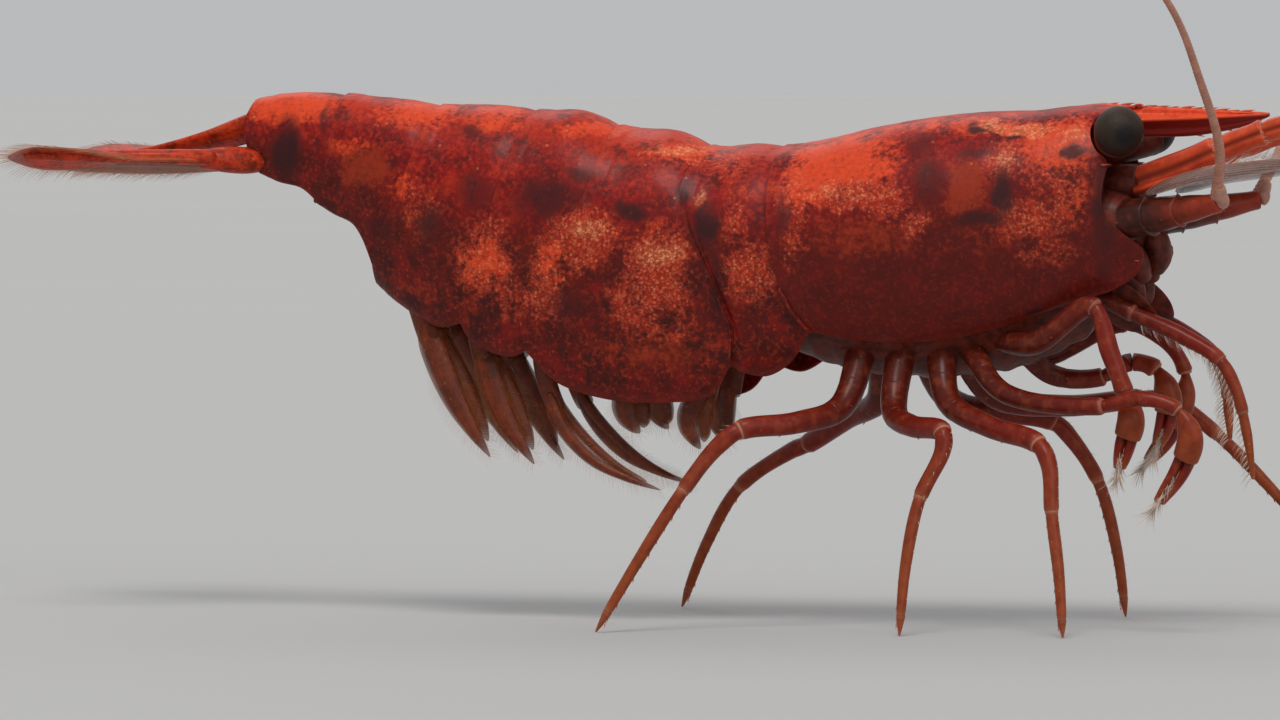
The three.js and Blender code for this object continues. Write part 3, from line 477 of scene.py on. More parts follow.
class ShrimpFeelerSettings(bpy.types.PropertyGroup):
    feeler: colour("Feeler", "Red of the antennules", (0.56, 0.055, 0.016))
    feeler_end: colour("Feeler End", "Clearer red towards their ends", (0.6, 0.075, 0.022))
    stem: colour("Stem", "Brown black of the stout lengths beside the mouth", (0.05, 0.011, 0.006))
    stem_end: colour("Stem End", "Red brown towards their ends", (0.3, 0.03, 0.01))
    whip: colour("Whip", "Dull rose of the long feelers", (0.4, 0.18, 0.13))
    whip_end: colour("Whip End", "Clearer rose towards their ends", (0.46, 0.24, 0.18))
    annulus: length("Ring Length", "Length of one ring of a feeler", 0.00013)
    annulus_depth: bpy.props.FloatProperty(
        name="Ring Depth", description="Share of the radius lost between rings", subtype="FACTOR",
        min=0.0, max=0.6, default=0.13,
    )


class ShrimpEyeSettings(bpy.types.PropertyGroup):
    cornea: colour("Cornea", "Brown black of the eye", (0.018, 0.011, 0.007))
    # Haze is also a painted soft highlight on the upper rear of the globe.
    haze: colour("Haze", "Dull brown of the hazy upper part", (0.05, 0.031, 0.019))
    spot: colour("Spot", "Black spot in the middle of the eye's outer side", (0.004, 0.004, 0.005))
    lower: colour("Lower Part", "Red brown where the globe meets its stalk", (0.05, 0.014, 0.009))
    facet_depth: length("Facet Depth", "How far each facet stands out", 0.000006)
    facet_splits: bpy.props.IntProperty(
        name="Facet Splits", description="How often the globe is split into facets", min=3, max=6, default=5
    )


class ShrimpBristleSettings(bpy.types.PropertyGroup):
    bristle: colour("Bristle", "Pale bristles of the scales and claws", (0.62, 0.5, 0.42))
    fringe: colour("Fringe", "Russet bristles of the fins", (0.42, 0.17, 0.07))
    horn: colour("Horn", "Orange red of the spines", (0.5, 0.075, 0.025))
    spacing: length("Spacing", "Step between the bristles of a fringe", 0.000055)
    seed: bpy.props.IntProperty(
        name="Seed", description="Order of the bristles' differences", min=0, default=7
    )


class ShrimpStageSettings(bpy.types.PropertyGroup):
    floor: colour("Floor", "Plain pale floor", (0.535, 0.53, 0.525))
    azimuth: bpy.props.FloatProperty(
        name="Azimuth", description="Camera's turn ahead of the shrimp's right side", subtype="ANGLE",
        unit="ROTATION", default=math.radians(16),
    )
    elevation: bpy.props.FloatProperty(
        name="Elevation", description="Camera's rise above the floor's level", subtype="ANGLE",
        unit="ROTATION", default=math.radians(2),
    )
    distance: length("Distance", "Camera to the middle of the view", 0.230)
    lens: bpy.props.FloatProperty(
        name="Lens", description="Focal length in millimetres", subtype="DISTANCE_CAMERA", default=278.2
    )


# ---- Curves and outlines ----


def value_at(rows, x):
    """Smooth values at x along rows of [x, value]."""
    rows = np.asarray(rows, float)
    places, values = rows[:, 0], rows[:, 1]
    before = np.maximum(np.arange(len(rows)) - 1, 0)
    after = np.minimum(np.arange(len(rows)) + 1, len(rows) - 1)
    slopes = (values[after] - values[before]) / (places[after] - places[before])
    x = np.asarray(x, float)
    i = np.clip(np.searchsorted(places, x, side="right") - 1, 0, len(rows) - 2)
    span = places[i + 1] - places[i]
    rise = values[i + 1] - values[i]
    t = np.clip((x - places[i]) / span, 0, 1)
    a = slopes[i] * span - rise
    b = rise - slopes[i + 1] * span
    return values[i] + t * rise + t * (1 - t) * (a * (1 - t) + b * t)


def curve_at(rows, t, dimensions=None):
    """Rows at t, from 0 to 1, on a smooth curve that passes through all of them."""
    rows = np.asarray(rows, float)
    dimensions = dimensions or min(rows.shape[1], 3)
    rows = np.vstack([2 * rows[0] - rows[1], rows, 2 * rows[-1] - rows[-2]])
    spans = len(rows) - 3
    place = np.clip(np.asarray(t, float), 0, 1) * spans
    i = np.minimum(place.astype(int), spans - 1)
    w = (place - i)[..., None]
    p0, p1, p2, p3 = rows[i], rows[i + 1], rows[i + 2], rows[i + 3]

    def knot(a, b):
        return np.maximum(np.linalg.norm((b - a)[..., :dimensions], axis=-1, keepdims=True), 1e-6) ** 0.5

    d0, d1, d2 = knot(p0, p1), knot(p1, p2), knot(p2, p3)
    start = ((p1 - p0) / d0 - (p2 - p0) / (d0 + d1) + (p2 - p1) / d1) * d1
    stop = ((p2 - p1) / d1 - (p3 - p1) / (d1 + d2) + (p3 - p2) / d2) * d1
    bend = (3 * (p2 - p1) - 2 * start - stop) * w**2
    return p1 + start * w + bend + (2 * (p1 - p2) + start + stop) * w**3


def ease(t):
    """0 below 0, 1 above 1 and a smooth step between."""
    t = np.clip(t, 0, 1)
    return t * t * (3 - 2 * t)


def unit(vectors):
    return vectors / np.maximum(np.linalg.norm(vectors, axis=-1, keepdims=True), 1e-9)


def half_width_at(x, z):
    """Half width of the body at a point of its side view."""
    widest = value_at(WIDEST_LEVEL, x)
    above = z > widest
    reach = np.where(above, value_at(BACK_LINE, x) - widest, value_at(SIDE_REACH, x))
    power = np.where(above, BACK_ROUNDING, SIDE_ROUNDING)
    part = np.clip(np.abs(z - widest) / reach, 0, 1)
    return value_at(HALF_WIDTH, x) * (1 - part**power) ** (1 / power)


def to_side(rows, side):
    return [[row[0], row[1] * side, *row[2:]] for row in rows]


def each_limb(limbs):
    """The name of each limb and its path, on its own side."""
    for name, rows in limbs.items():
        yield name, to_side(rows, dict(SIDES)[name.split("_")[-1]])


def slimmer(rows, shares):
    """The rows with each radius multiplied by its share."""
    return [[*row[:3], row[3] * share] for row, share in zip(rows, shares, strict=True)]


def rooted(rows, share, rise):
    """The rows with the first one moved inwards and up into the trunk."""
    x, y, z, radius = rows[0]
    return [[x, share * y, z + rise, radius], *rows[1:]]


def wobble(points, scale, amount, offset=0.0):
    """A small smooth unevenness for each point."""
    flat = points.reshape(-1, 3)
    values = [noise.noise(Vector((p[0] * scale + offset, p[1] * scale, p[2] * scale))) for p in flat]
    return amount * np.array(values).reshape(points.shape[:-1])


def around(sides):
    """Angles of the corners of a ring."""
    return (np.arange(sides) + 0.5) / sides * 2 * np.pi


def to_frame(points):
    """Points in metres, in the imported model's frame."""
    return (np.asarray(points) + [FRAME_SHIFT, 0, 0]) * MM


# ---- Meshes ----


def meshed(name, points, edges=(), faces=()):
    """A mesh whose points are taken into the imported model's frame."""
    mesh = bpy.data.meshes.new(name)
    mesh.from_pydata(to_frame(points).tolist(), edges, faces)
    return mesh


def hold(mesh, name, values, kind="FLOAT", field="value"):
    """Gives each point of a mesh a value under a name."""
    mesh.attributes.new(name, kind, "POINT").data.foreach_set(field, values.reshape(-1))


def placed(name, data):
    """A new object in the scene."""
    piece = bpy.data.objects.new(name, data)
    bpy.context.scene.collection.objects.link(piece)
    return piece


class Form:
    """Corners, faces and marks of a piece while it is built, in the shrimp's frame."""

    def __init__(self):
        self.corners, self.faces, self.marks, self.count = [], [], {}, 0

    def _keep(self, grid, marks):
        start = self.count
        self.corners.append(grid.reshape(-1, 3))
        self.count += grid.shape[0] * grid.shape[1]
        for name in set(self.marks) | set(marks):
            values = np.broadcast_to(np.asarray(marks.get(name, 0.0), float), grid.shape[:2]).reshape(-1)
            held = self.marks.setdefault(name, np.zeros(start))
            self.marks[name] = np.concatenate([held, values])
        return start + np.arange(grid.shape[0] * grid.shape[1]).reshape(grid.shape[:2])

    def sheet(self, grid, **marks):
        """An open sheet over rows of points."""
        index = self._keep(grid, marks)
        quads = np.stack([index[:-1, :-1], index[:-1, 1:], index[1:, 1:], index[1:, :-1]], -1)
        self.faces += quads.reshape(-1, 4).tolist()

    def rings(self, rings, **marks):
        """A closed skin over rings of points, with a pole in each end."""
        index = self._keep(rings, marks)
        turned = np.roll(index, -1, axis=1)
        quads = np.stack([index[:-1], turned[:-1], turned[1:], index[1:]], -1)
        self.faces += quads.reshape(-1, 4).tolist()
        for end in (0, -1):
            values = {
                name: np.broadcast_to(np.asarray(value, float), rings.shape[:2])[end, 0]
                for name, value in marks.items()
            }
            pole = int(self._keep(rings[end].mean(axis=0).reshape(1, 1, 3), values)[0, 0])
            self.faces += [[pole, int(a), int(b)] for a, b in zip(index[end], turned[end], strict=True)]

    def to_object(self, name, material, closed=True):
        """A mesh object of this form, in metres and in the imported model's frame."""
        mesh = meshed(name, np.vstack(self.corners), faces=self.faces)
        for mark, values in self.marks.items():
            hold(mesh, mark, values)
        if closed:
            faces_outward(mesh)
        mesh.shade_smooth()
        mesh.materials.append(material)
        return placed(name, mesh)


def faces_outward(mesh):
    work = bmesh.new()
    work.from_mesh(mesh)
    bmesh.ops.recalc_face_normals(work, faces=work.faces)
    work.to_mesh(mesh)
    work.free()


def settled(piece):
    """The piece as a plain mesh, with what its modifiers made."""
    bpy.context.view_layer.update()
    depsgraph = bpy.context.evaluated_depsgraph_get()
    mesh = bpy.data.meshes.new_from_object(
        piece.evaluated_get(depsgraph), preserve_all_data_layers=True, depsgraph=depsgraph
    )
    piece.modifiers.clear()
    rough, piece.data = piece.data, mesh
    bpy.data.meshes.remove(rough)
    mesh.name = piece.name
    mesh.shade_smooth()
    return piece


def walled(piece, thickness, rounding):
    """The sheet as a shell plate with a wall inside it and rounded edges."""
    wall = piece.modifiers.new("Wall", "SOLIDIFY")
    wall.thickness = thickness
    wall.offset = -1
    wall.use_quality_normals = True
    edge = piece.modifiers.new("Edge", "BEVEL")
    edge.width = rounding
    edge.segments = 2
    edge.limit_method = "ANGLE"
    edge.angle_limit = math.radians(50)
    return settled(piece)


def belongs(piece, slot, *nodes):
    """The piece rides on the body and stands for CAD nodes, which it hides. The slot is not used."""
    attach(piece, BODY)
    if nodes:
        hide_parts(*nodes)


def grid_normals(grid):
    return unit(np.cross(np.gradient(grid, axis=1), np.gradient(grid, axis=0)))


Sweep = namedtuple("Sweep", "rings centre side rise forward")


def swept(rows, t, wide, thick, across, sides, turn=0.0):
    """Rings round a path, and the centre, side, up and forward vectors of each."""
    centre = curve_at(rows, t)[:, :3]
    forward = unit(np.gradient(centre, axis=0))
    across = np.broadcast_to(across, centre.shape)
    side = unit(across - forward * np.sum(across * forward, axis=1, keepdims=True))
    rise = np.cross(forward, side)
    if np.any(turn):
        turn = np.broadcast_to(turn, t.shape)[:, None]
        side, rise = side * np.cos(turn) + rise * np.sin(turn), rise * np.cos(turn) - side * np.sin(turn)
    angle = around(sides)
    rings = (
        centre[:, None]
        + side[:, None] * (wide[:, None] * np.cos(angle))[..., None]
        + rise[:, None] * (thick[:, None] * np.sin(angle))[..., None]
    )
    return Sweep(rings, centre, side, rise, forward)


def end_spaced(steps):
    """Numbers from 0 to 1, closer together towards both ends."""
    return 0.5 - 0.5 * np.cos(np.pi * np.linspace(0, 1, steps + 1))


def rounded_ends(s, start, stop):
    """Shares of a radius that close off both ends of a length."""
    head = np.clip(1 - s / max(start, 1e-6), 0, 1)
    tail = np.clip(1 - (1 - s) / max(stop, 1e-6), 0, 1)
    return np.sqrt(np.maximum(1 - head**2, 0.0)) * np.sqrt(np.maximum(1 - tail**2, 0.0))


def hard_length(
    form, rows, start, stop, neck, flare, across,
    flat=1.0, sides=20, steps=26, swell=0.0, pale=0.2, groove=0.0,
):
    """One hard length of a limb between two places on its path, counted in rows."""
    s = end_spaced(steps)
    t = (start + (stop - start) * s) / (len(rows) - 1)
    radius = curve_at(rows, t)[:, 3]
    radius = radius * (neck + (1 - neck) * ease(s / 0.4)) * (1 + (flare - 1) * ease((s - 0.72) / 0.24))
    radius = radius * (1 + swell * np.sin(np.pi * s)) * np.maximum(rounded_ends(s, 0.05, 0.05), 0.04)
    sweep = swept(rows, t, radius, radius * flat, across, sides)
    rings = sweep.rings
    lip = ease((s - 0.93) / 0.05)
    foot = 1 - ease(s / 0.07)
    marks = {"tint": (pale * np.maximum(lip, foot))[:, None], "along": s[:, None], "reach": t[:, None]}
    if groove:
        cut = np.exp(-(((1 - np.abs(np.cos(around(sides)))) / 0.03) ** 2))
        middle = sweep.centre[:, None]
        rings = middle + (rings - middle) * (1 - groove * cut)[None, :, None]
        marks["groove"] = cut[None, :]
    form.rings(rings, **marks)


def soft_joint(form, rows, at, size, across, pale):
    """The pale skin that shows in a joint."""
    s = end_spaced(10)
    centre = curve_at(rows, np.array([at / (len(rows) - 1)]))[0]
    reach = 0.16 / (len(rows) - 1)
    t = at / (len(rows) - 1) + reach * (s - 0.5)
    radius = centre[3] * size * np.maximum(rounded_ends(s, 0.5, 0.5), 0.05)
    rings = swept(rows, t, radius, radius, across, 14).rings
    form.rings(rings, tint=pale, reach=t[:, None])


def jointed(form, path, lengths, joints, across, size=0.96, flat=1.0, **shape):
    """Hard lengths along a path, with skin of a share of their size in the joints."""
    for start, stop, neck, flare, pale in lengths:
        hard_length(form, path, start, stop, neck, flare, across, flat, pale=pale, **shape)
    for at, pale in joints:
        soft_joint(form, path, at, size, across, pale)


# ---- Node trees ----


class Graph:
    """One node tree, and the one way that its nodes are added."""

    def __init__(self, tree):
        self.tree = tree

    def add(self, kind, sockets=None, **settings):
        """A node with its settings, and then with the values or links of its sockets."""
        node = self.tree.nodes.new(kind)
        for name, value in settings.items():
            setattr(node, name, value)
        for key, value in (sockets or {}).items():
            self.feed(node.inputs[key], value)
        return node

    def feed(self, socket, value):
        if isinstance(value, Value):
            value = value.socket
        if isinstance(value, bpy.types.NodeSocket):
            self.tree.links.new(value, socket)
        elif socket.type == "RGBA" and len(value) == 3:
            socket.default_value = (*value, 1.0)
        else:
            socket.default_value = value

    def vector(self, operation, *terms, output="Vector", **sockets):
        """What a Vector Math node makes of its terms."""
        inputs = {**dict(enumerate(terms)), **sockets}
        return self.add("ShaderNodeVectorMath", inputs, operation=operation).outputs[output]


class Value:
    """A number that changes over a surface or along a curve. Sums on it add Math nodes."""

    def __init__(self, graph, socket):
        self.graph, self.socket = graph, socket

    def _math(self, operation, *terms):
        node = self.graph.add("ShaderNodeMath", dict(enumerate(terms)), operation=operation)
        return Value(self.graph, node.outputs[0])

    def __add__(self, other):
        return self._math("ADD", self, other)

    __radd__ = __add__

    def __sub__(self, other):
        return self._math("SUBTRACT", self, other)

    def __rsub__(self, other):
        return self._math("SUBTRACT", other, self)

    def __mul__(self, other):
        return self._math("MULTIPLY", self, other)

    __rmul__ = __mul__

    def __truediv__(self, other):
        return self._math("DIVIDE", self, other)

    def over(self, other):
        """The larger of two values."""
        return self._math("MAXIMUM", self, other)

    def fraction(self):
        return self._math("FRACT", self)

    def size(self):
        return self._math("ABSOLUTE", self)

    def wave(self):
        return self._math("SINE", self)

    def between(self, low, high):
        """0 at low, 1 at high and a smooth step between."""
        sockets = {"Value": self, "From Min": low, "From Max": high}
        node = self.graph.add("ShaderNodeMapRange", sockets, interpolation_type="SMOOTHSTEP")
        return Value(self.graph, node.outputs["Result"])


class Finish(Graph):
    """The node tree of one material. Its places are in the shrimp's own frame."""

    def __init__(self, name):
        self.material = bpy.data.materials.new(name)
        self.material.use_nodes = True
        super().__init__(self.material.node_tree)
        self.tree.nodes.clear()
        coordinates = self.add("ShaderNodeTexCoord").outputs["Object"]
        self.place = self.vector("MULTIPLY_ADD", coordinates, (1 / MM,) * 3, (-FRAME_SHIFT, 0, 0))

    def mark(self, name):
        """What the mesh holds under a name."""
        return Value(self, self.add("ShaderNodeAttribute", attribute_name=name).outputs["Fac"])

    def cloud(self, scale, detail=2.0, roughness=0.5):
        """Soft noise; its scale is in waves a millimetre."""
        sockets = {"Vector": self.place, "Scale": scale, "Detail": detail, "Roughness": roughness}
        return Value(self, self.add("ShaderNodeTexNoise", sockets).outputs["Fac"])

    def net(self, scale):
        """A random net of cells: distance from each cell's middle, and its own colour."""
        return self.add("ShaderNodeTexVoronoi", {"Vector": self.place, "Scale": scale}).outputs

    def dots(self, scale, share, size=0.42):
        """Round grains of uneven strength on a share of the cells of a random net."""
        net = self.net(scale)
        lot = Value(self, self.add("ShaderNodeSeparateColor", {0: net["Color"]}).outputs[0])
        grains = Value(self, net["Distance"]).between(size, 0.5 * size)
        return grains * lot.between(1 - share, 1.2 - share)

    def ragged(self, amount, scale):
        """Places moved about at random, for ragged edges."""
        sockets = {"Vector": self.place, "Scale": scale, "Detail": 2.0}
        noises = self.add("ShaderNodeTexNoise", sockets).outputs["Color"]
        moved = self.vector("MULTIPLY_ADD", noises, (2 * amount,) * 3, (-amount,) * 3)
        return self.vector("ADD", self.place, moved)

    def patch(self, place, x, z, half_x, half_z, softness):
        """1 in an oval of the side view and 0 outside it."""
        offset = self.vector("SUBTRACT", place, (x, 0, z))
        scaled = self.vector("MULTIPLY", offset, (1 / half_x, 0, 1 / half_z))
        reach = Value(self, self.vector("LENGTH", scaled, output="Value"))
        return reach.between(1 + softness, 1 - softness)

    def patches(self, place, rows, softness):
        """Ovals of the side view, each (x, z, half width, half height, strength), as one mask."""
        masks = [self.patch(place, *oval, softness) * strength for *oval, strength in rows]
        return functools.reduce(Value.over, masks)

    def coated(self, base, *coats):
        """The base colour under coats in their order, each a mask and a colour."""
        for mask, tone in coats:
            mix = self.add(
                "ShaderNodeMix", {0: mask, 6: base, 7: tone},
                data_type="RGBA", blend_type="MIX", clamp_factor=True,
            )
            base = mix.outputs[2]
        return base

    def surface(self, base, roughness, height=None, bump=0.01 * MM, **others):
        """The material. The other values go to the shader's sockets of their names."""
        sockets = {"Base Color": base, "Roughness": roughness}
        if height is not None:
            relief = {"Strength": 1.0, "Distance": bump, "Height": height}
            sockets["Normal"] = self.add("ShaderNodeBump", relief).outputs["Normal"]
        for name, value in others.items():
            sockets[name.replace("_", " ").title().replace("Ior", "IOR")] = value
        shader = self.add("ShaderNodeBsdfPrincipled", sockets)
        self.add("ShaderNodeOutputMaterial", {"Surface": shader.outputs["BSDF"]})
        return self.material


# ---- Finishes ----


def shaded(tone, share, lift=0.0):
    """A colour made darker or paler."""
    return tuple(min(1.0, share * part + lift) for part in tone)


def soft_red(scale):
    """Constants of a horny skin with light inside it."""
    return {
        "subsurface_weight": 0.1, "subsurface_radius": (1.0, 0.15, 0.08), "subsurface_scale": scale * MM,
        "coat_weight": 0.08, "coat_roughness": 0.2, "specular_ior_level": 0.18,
    }


# Markings are ovals of the side view: x, z, half width, half height and strength.
CARAPACE_MARKS = {
    "salmon": [
        (5.3, 10.75, 1.25, 0.62, 1.0), (4.5, 10.35, 0.55, 0.7, 0.9), (10.4, 11.1, 0.9, 0.6, 0.8),
        (10.9, 10.2, 0.6, 1.0, 0.3), (8.6, 11.55, 2.4, 0.22, 0.6),
    ],
    "speckled": [
        (5.4, 9.95, 1.3, 0.3, 1.0), (4.3, 9.9, 0.4, 0.6, 0.7), (6.5, 9.75, 0.5, 0.4, 0.6),
        (7.15, 9.3, 0.3, 0.3, 0.6), (9.15, 10.75, 0.42, 0.42, 0.9), (10.4, 10.7, 0.9, 1.0, 0.4),
        (9.8, 9.4, 0.95, 0.42, 0.62), (10.2, 8.7, 0.8, 0.45, 0.3), (4.3, 8.9, 0.3, 0.6, 0.45),
    ],
    "cream": [
        (8.75, 11.5, 0.32, 0.14, 1.0), (9.6, 11.5, 0.55, 0.16, 1.0), (9.2, 10.8, 0.2, 0.2, 0.8),
        (5.4, 9.98, 0.9, 0.12, 0.45), (10.7, 11.3, 0.4, 0.16, 0.5),
    ],
    "amber": [
        (8.3, 10.12, 0.5, 0.62, 1.0), (5.9, 9.0, 1.5, 0.45, 0.45), (8.4, 8.9, 1.0, 0.4, 0.3),
    ],
    # Dark ovals: brown black blotches; the one at x 11.5 is painted shade along the carapace's front edge,
    # the one at x 4.0 painted shade along its rear edge.
    "dark": [
        (9.15, 10.05, 0.3, 0.6, 1.0), (8.7, 9.4, 0.7, 0.18, 0.8), (7.45, 10.3, 0.4, 0.6, 0.55),
        (8.5, 10.9, 0.5, 0.14, 0.6), (8.4, 11.45, 0.24, 0.11, 1.0), (9.3, 11.3, 0.22, 0.08, 0.8),
        (10.75, 10.95, 0.32, 0.15, 1.0), (9.95, 7.15, 0.26, 0.22, 1.0), (7.1, 11.1, 0.3, 0.3, 0.55),
        (11.5, 9.6, 0.3, 1.6, 0.6), (4.0, 9.5, 0.16, 0.5, 0.6),
    ],
}
ABDOMEN_MARKS = {
    "salmon": [
        (-8.4, 11.95, 1.1, 0.42, 0.9), (-5.1, 11.8, 0.9, 0.32, 0.9), (-3.2, 11.7, 0.7, 0.35, 0.7),
        (-0.8, 11.45, 0.9, 0.22, 0.7), (1.4, 10.9, 0.8, 0.2, 0.8), (-1.5, 8.4, 0.4, 0.5, 0.6),
        (-3.2, 8.4, 0.6, 0.5, 0.6), (-5.3, 10.1, 0.35, 0.35, 0.5), (-6.6, 11.0, 0.5, 0.3, 0.4),
    ],
    "speckled": [
        (3.2, 8.15, 0.62, 0.6, 0.7), (2.9, 9.4, 0.4, 0.7, 0.4), (1.1, 8.2, 0.75, 0.95, 0.9),
        (-0.8, 8.9, 0.85, 0.6, 0.85), (-1.7, 8.0, 0.4, 0.9, 0.7), (0.4, 7.4, 0.6, 0.5, 0.5),
        (-3.2, 8.5, 0.7, 0.9, 0.6), (-4.8, 9.6, 0.6, 0.7, 0.3), (-2.6, 7.5, 0.5, 0.5, 0.35),
        (1.2, 6.9, 0.8, 0.5, 0.35), (1.4, 10.9, 0.9, 0.3, 0.6), (2.5, 10.6, 0.6, 0.4, 0.4),
    ],
    "cream": [
        (1.15, 8.6, 0.5, 0.3, 0.7), (-0.6, 9.1, 0.5, 0.2, 0.7), (1.2, 10.95, 0.6, 0.1, 0.9),
        (2.0, 9.9, 0.1, 0.2, 0.8),
    ],
    "amber": [
        (-6.3, 10.6, 0.8, 0.5, 0.8), (1.0, 6.4, 2.0, 0.5, 0.5), (-4.4, 7.6, 1.2, 0.4, 0.4),
    ],
    # Dark ovals: brown black blotches; those at x 1.62, 2.2 and 2.4 are painted shade along the seam of the
    # first and second rings.
    "dark": [
        (2.2, 9.2, 0.28, 0.46, 1.0), (1.62, 10.0, 0.2, 0.24, 0.9), (0.35, 9.55, 0.42, 0.22, 0.9),
        (-1.6, 9.85, 0.9, 0.4, 0.75), (-0.9, 10.4, 0.4, 0.2, 0.6), (-3.4, 10.0, 0.5, 0.5, 0.5),
        (-4.6, 9.2, 0.35, 0.4, 0.6), (-8.35, 10.9, 0.35, 0.7, 0.9), (-1.2, 7.4, 0.5, 0.35, 0.5),
        (2.4, 7.9, 0.16, 0.9, 0.6), (-7.4, 11.6, 0.12, 0.4, 0.6), (-3.7, 11.4, 0.3, 0.16, 0.6),
        (-5.9, 9.1, 0.4, 0.3, 0.5), (-2.3, 10.9, 0.3, 0.3, 0.4),
    ],
}


def shell_finish(name, look, markings, mottle):
    """Red shell: a bright back, sides and skirts darkened partly as painted shade, and grainy, orange,
    clear and dark patches.
    """
    finish = Finish(name)
    ragged = finish.ragged(0.3, 1.6)
    down = finish.mark("down")
    drift = finish.cloud(0.7) - 0.5
    blotch = finish.cloud(1.9, 5.0, roughness=0.66)
    grain = finish.cloud(9.0, 3.0, roughness=0.6)
    fine = finish.cloud(24.0, 2.0)
    depth = down + drift * 0.3 + (blotch - 0.5) * 0.3
    upper = depth.between(0.68, 0.3)
    skirts = depth.between(0.42, 0.7) * mottle
    froth = finish.cloud(13.0, 3.0).between(0.44, 0.62) * fine.between(0.34, 0.6)

    def zone(kind, low=0.15, high=0.85):
        """Patches whose borders break up into the blotches and the grain."""
        mask = finish.patches(ragged, markings[kind], 0.75)
        breaking = (blotch - 0.5) * 1.5 + (grain - 0.5) * 1.1
        return (mask + breaking * mask.between(0.02, 0.3)).between(low, high)

    speckles = zone("speckled", 0.05, 0.75)
    # Pale rear rims, strongest along the back: partly their own paler colour, partly painted highlight.
    rim = finish.mark("rim").between(0.72, 1.0) * depth.between(0.75, 0.2)
    base = finish.coated(
        look.back,
        # Darker down the sides towards the skirts: partly the shell's deeper red, partly painted shade.
        (depth.between(-0.06, 0.24), look.flank_with_shade),
        (depth.between(0.3, 0.62), look.skirt_with_shade),
        (blotch.between(0.52, 0.38) * (0.15 + upper * 0.6), look.blotch),
        (blotch.between(0.54, 0.66) * upper * 0.45, look.back),
        (grain.between(0.48, 0.66) * (0.05 + upper * 0.3), look.back),
        (grain.between(0.5, 0.34) * (0.06 + upper * 0.34), look.grain),
        (blotch.between(0.52, 0.36) * skirts * 0.75, look.skirt_blotch),
        (blotch.between(0.5, 0.66) * skirts * 0.6, look.flank_with_shade),
        (grain.between(0.5, 0.68) * skirts * 0.5, look.amber),
        (finish.dots(9.0, 0.3, 0.36) * blotch.between(0.44, 0.6) * skirts * 0.32, look.salmon),
        (zone("amber") * 0.7, look.amber),
        (zone("salmon") * (0.4 + grain * 0.8), look.salmon),
        (speckles * (0.15 + grain * 0.5), look.back),
        (speckles * froth * 0.4, look.speckle),
        (speckles * finish.dots(10.0, 0.5) * 0.5, look.speckle),
        (zone("cream") * (0.15 + froth * 0.6), look.cream),
        (finish.dots(5.0, 0.16, 0.24) * depth.between(0.6, 0.3) * 0.5, look.speckle),
        # Dark blotches, with painted shade along the carapace's edges and the first seam.
        (zone("dark", 0.1, 0.95) * 0.9, look.shadow),
        (rim * blotch.between(0.44, 0.66) * 0.2, look.rim),
        (finish.mark("hem").between(0.6, 1.0) * 0.3, look.hem),
    )
    roughness = 0.36 + grain * 0.18 + speckles * 0.06
    height = grain * (0.15 + upper * 0.4) + fine * 0.2 + blotch * 0.6
    return finish.surface(base, roughness, height, bump=0.014 * MM, **soft_red(0.3))


def rostrum_finish(look):
    """Rostrum: orange above its side ridges and dark red below them, partly as painted shade."""
    finish = Finish("rostrum_shell")
    grain = finish.cloud(7.0, 3.0)
    level = finish.mark("down")
    base = finish.coated(
        look.salmon,
        # Dark red below the ridges, partly painted shade.
        (level.between(0.44, 0.58), look.keel),
        (grain.between(0.42, 0.6) * level.between(0.6, 0.4) * 0.7, look.back),
        (finish.dots(8.0, 0.4) * level.between(0.5, 0.3) * 0.5, look.speckle),
        ((level - 0.46).size().between(0.07, 0.01) * 0.5, look.rim),
        (level.between(0.12, 0.02) * 0.4, look.rim),
    )
    height = grain * 0.6 + finish.cloud(30.0) * 0.2
    return finish.surface(base, 0.32 + grain * 0.15, height, bump=0.008 * MM, **soft_red(0.2))


def limb_finish(name, main, far, look, mottle=0.25, root=0.75):
    """Hard limb skin: dark near the body as partly painted shade, clearer to its end, pale joints and
    painted knee glints.
    """
    finish = Finish(name)
    grain = finish.cloud(4.0, 3.0)
    fine = finish.cloud(18.0)
    reach = finish.mark("reach")
    base = finish.coated(
        main,
        (reach.between(0.35, 1.0), far),
        # Flesh colour near the body, partly painted shade where the limbs go under it.
        (reach.between(0.42, 0.08) * root, look.flesh),
        (grain.between(0.48, 0.7) * mottle, shaded(far, 1.5, 0.01)),
        (grain.between(0.5, 0.3) * 0.35, shaded(main, 0.45)),
        (finish.dots(9.0, 0.16, 0.28) * 0.3, look.joint),
        # Pale joints; on the knees this is also a painted highlight.
        (finish.mark("tint") * (0.6 + fine * 0.3), look.joint),
        # Painted shade in the groove along a stalk.
        (finish.mark("groove") * 0.8, shaded(main, 0.3)),
    )
    height = grain * 0.6 + fine * 0.3
    return finish.surface(base, 0.26 + grain * 0.2, height, bump=0.008 * MM, **soft_red(0.2))


def flesh_finish(look):
    """Soft brown skin of the underside and the face, kept dark partly as painted shade."""
    finish = Finish("flesh_skin")
    grain = finish.cloud(4.0, 4.0)
    base = finish.coated(
        look.flesh,
        (grain.between(0.35, 0.65), shaded(look.flesh, 2.4)),
        (finish.dots(9.0, 0.3, 0.3) * 0.35, look.limb),
        (finish.mark("tint") * 0.5, look.limb),
    )
    height = grain + finish.cloud(18.0) * 0.3
    return finish.surface(base, 0.4 + grain * 0.2, height, bump=0.02 * MM, **soft_red(0.3))


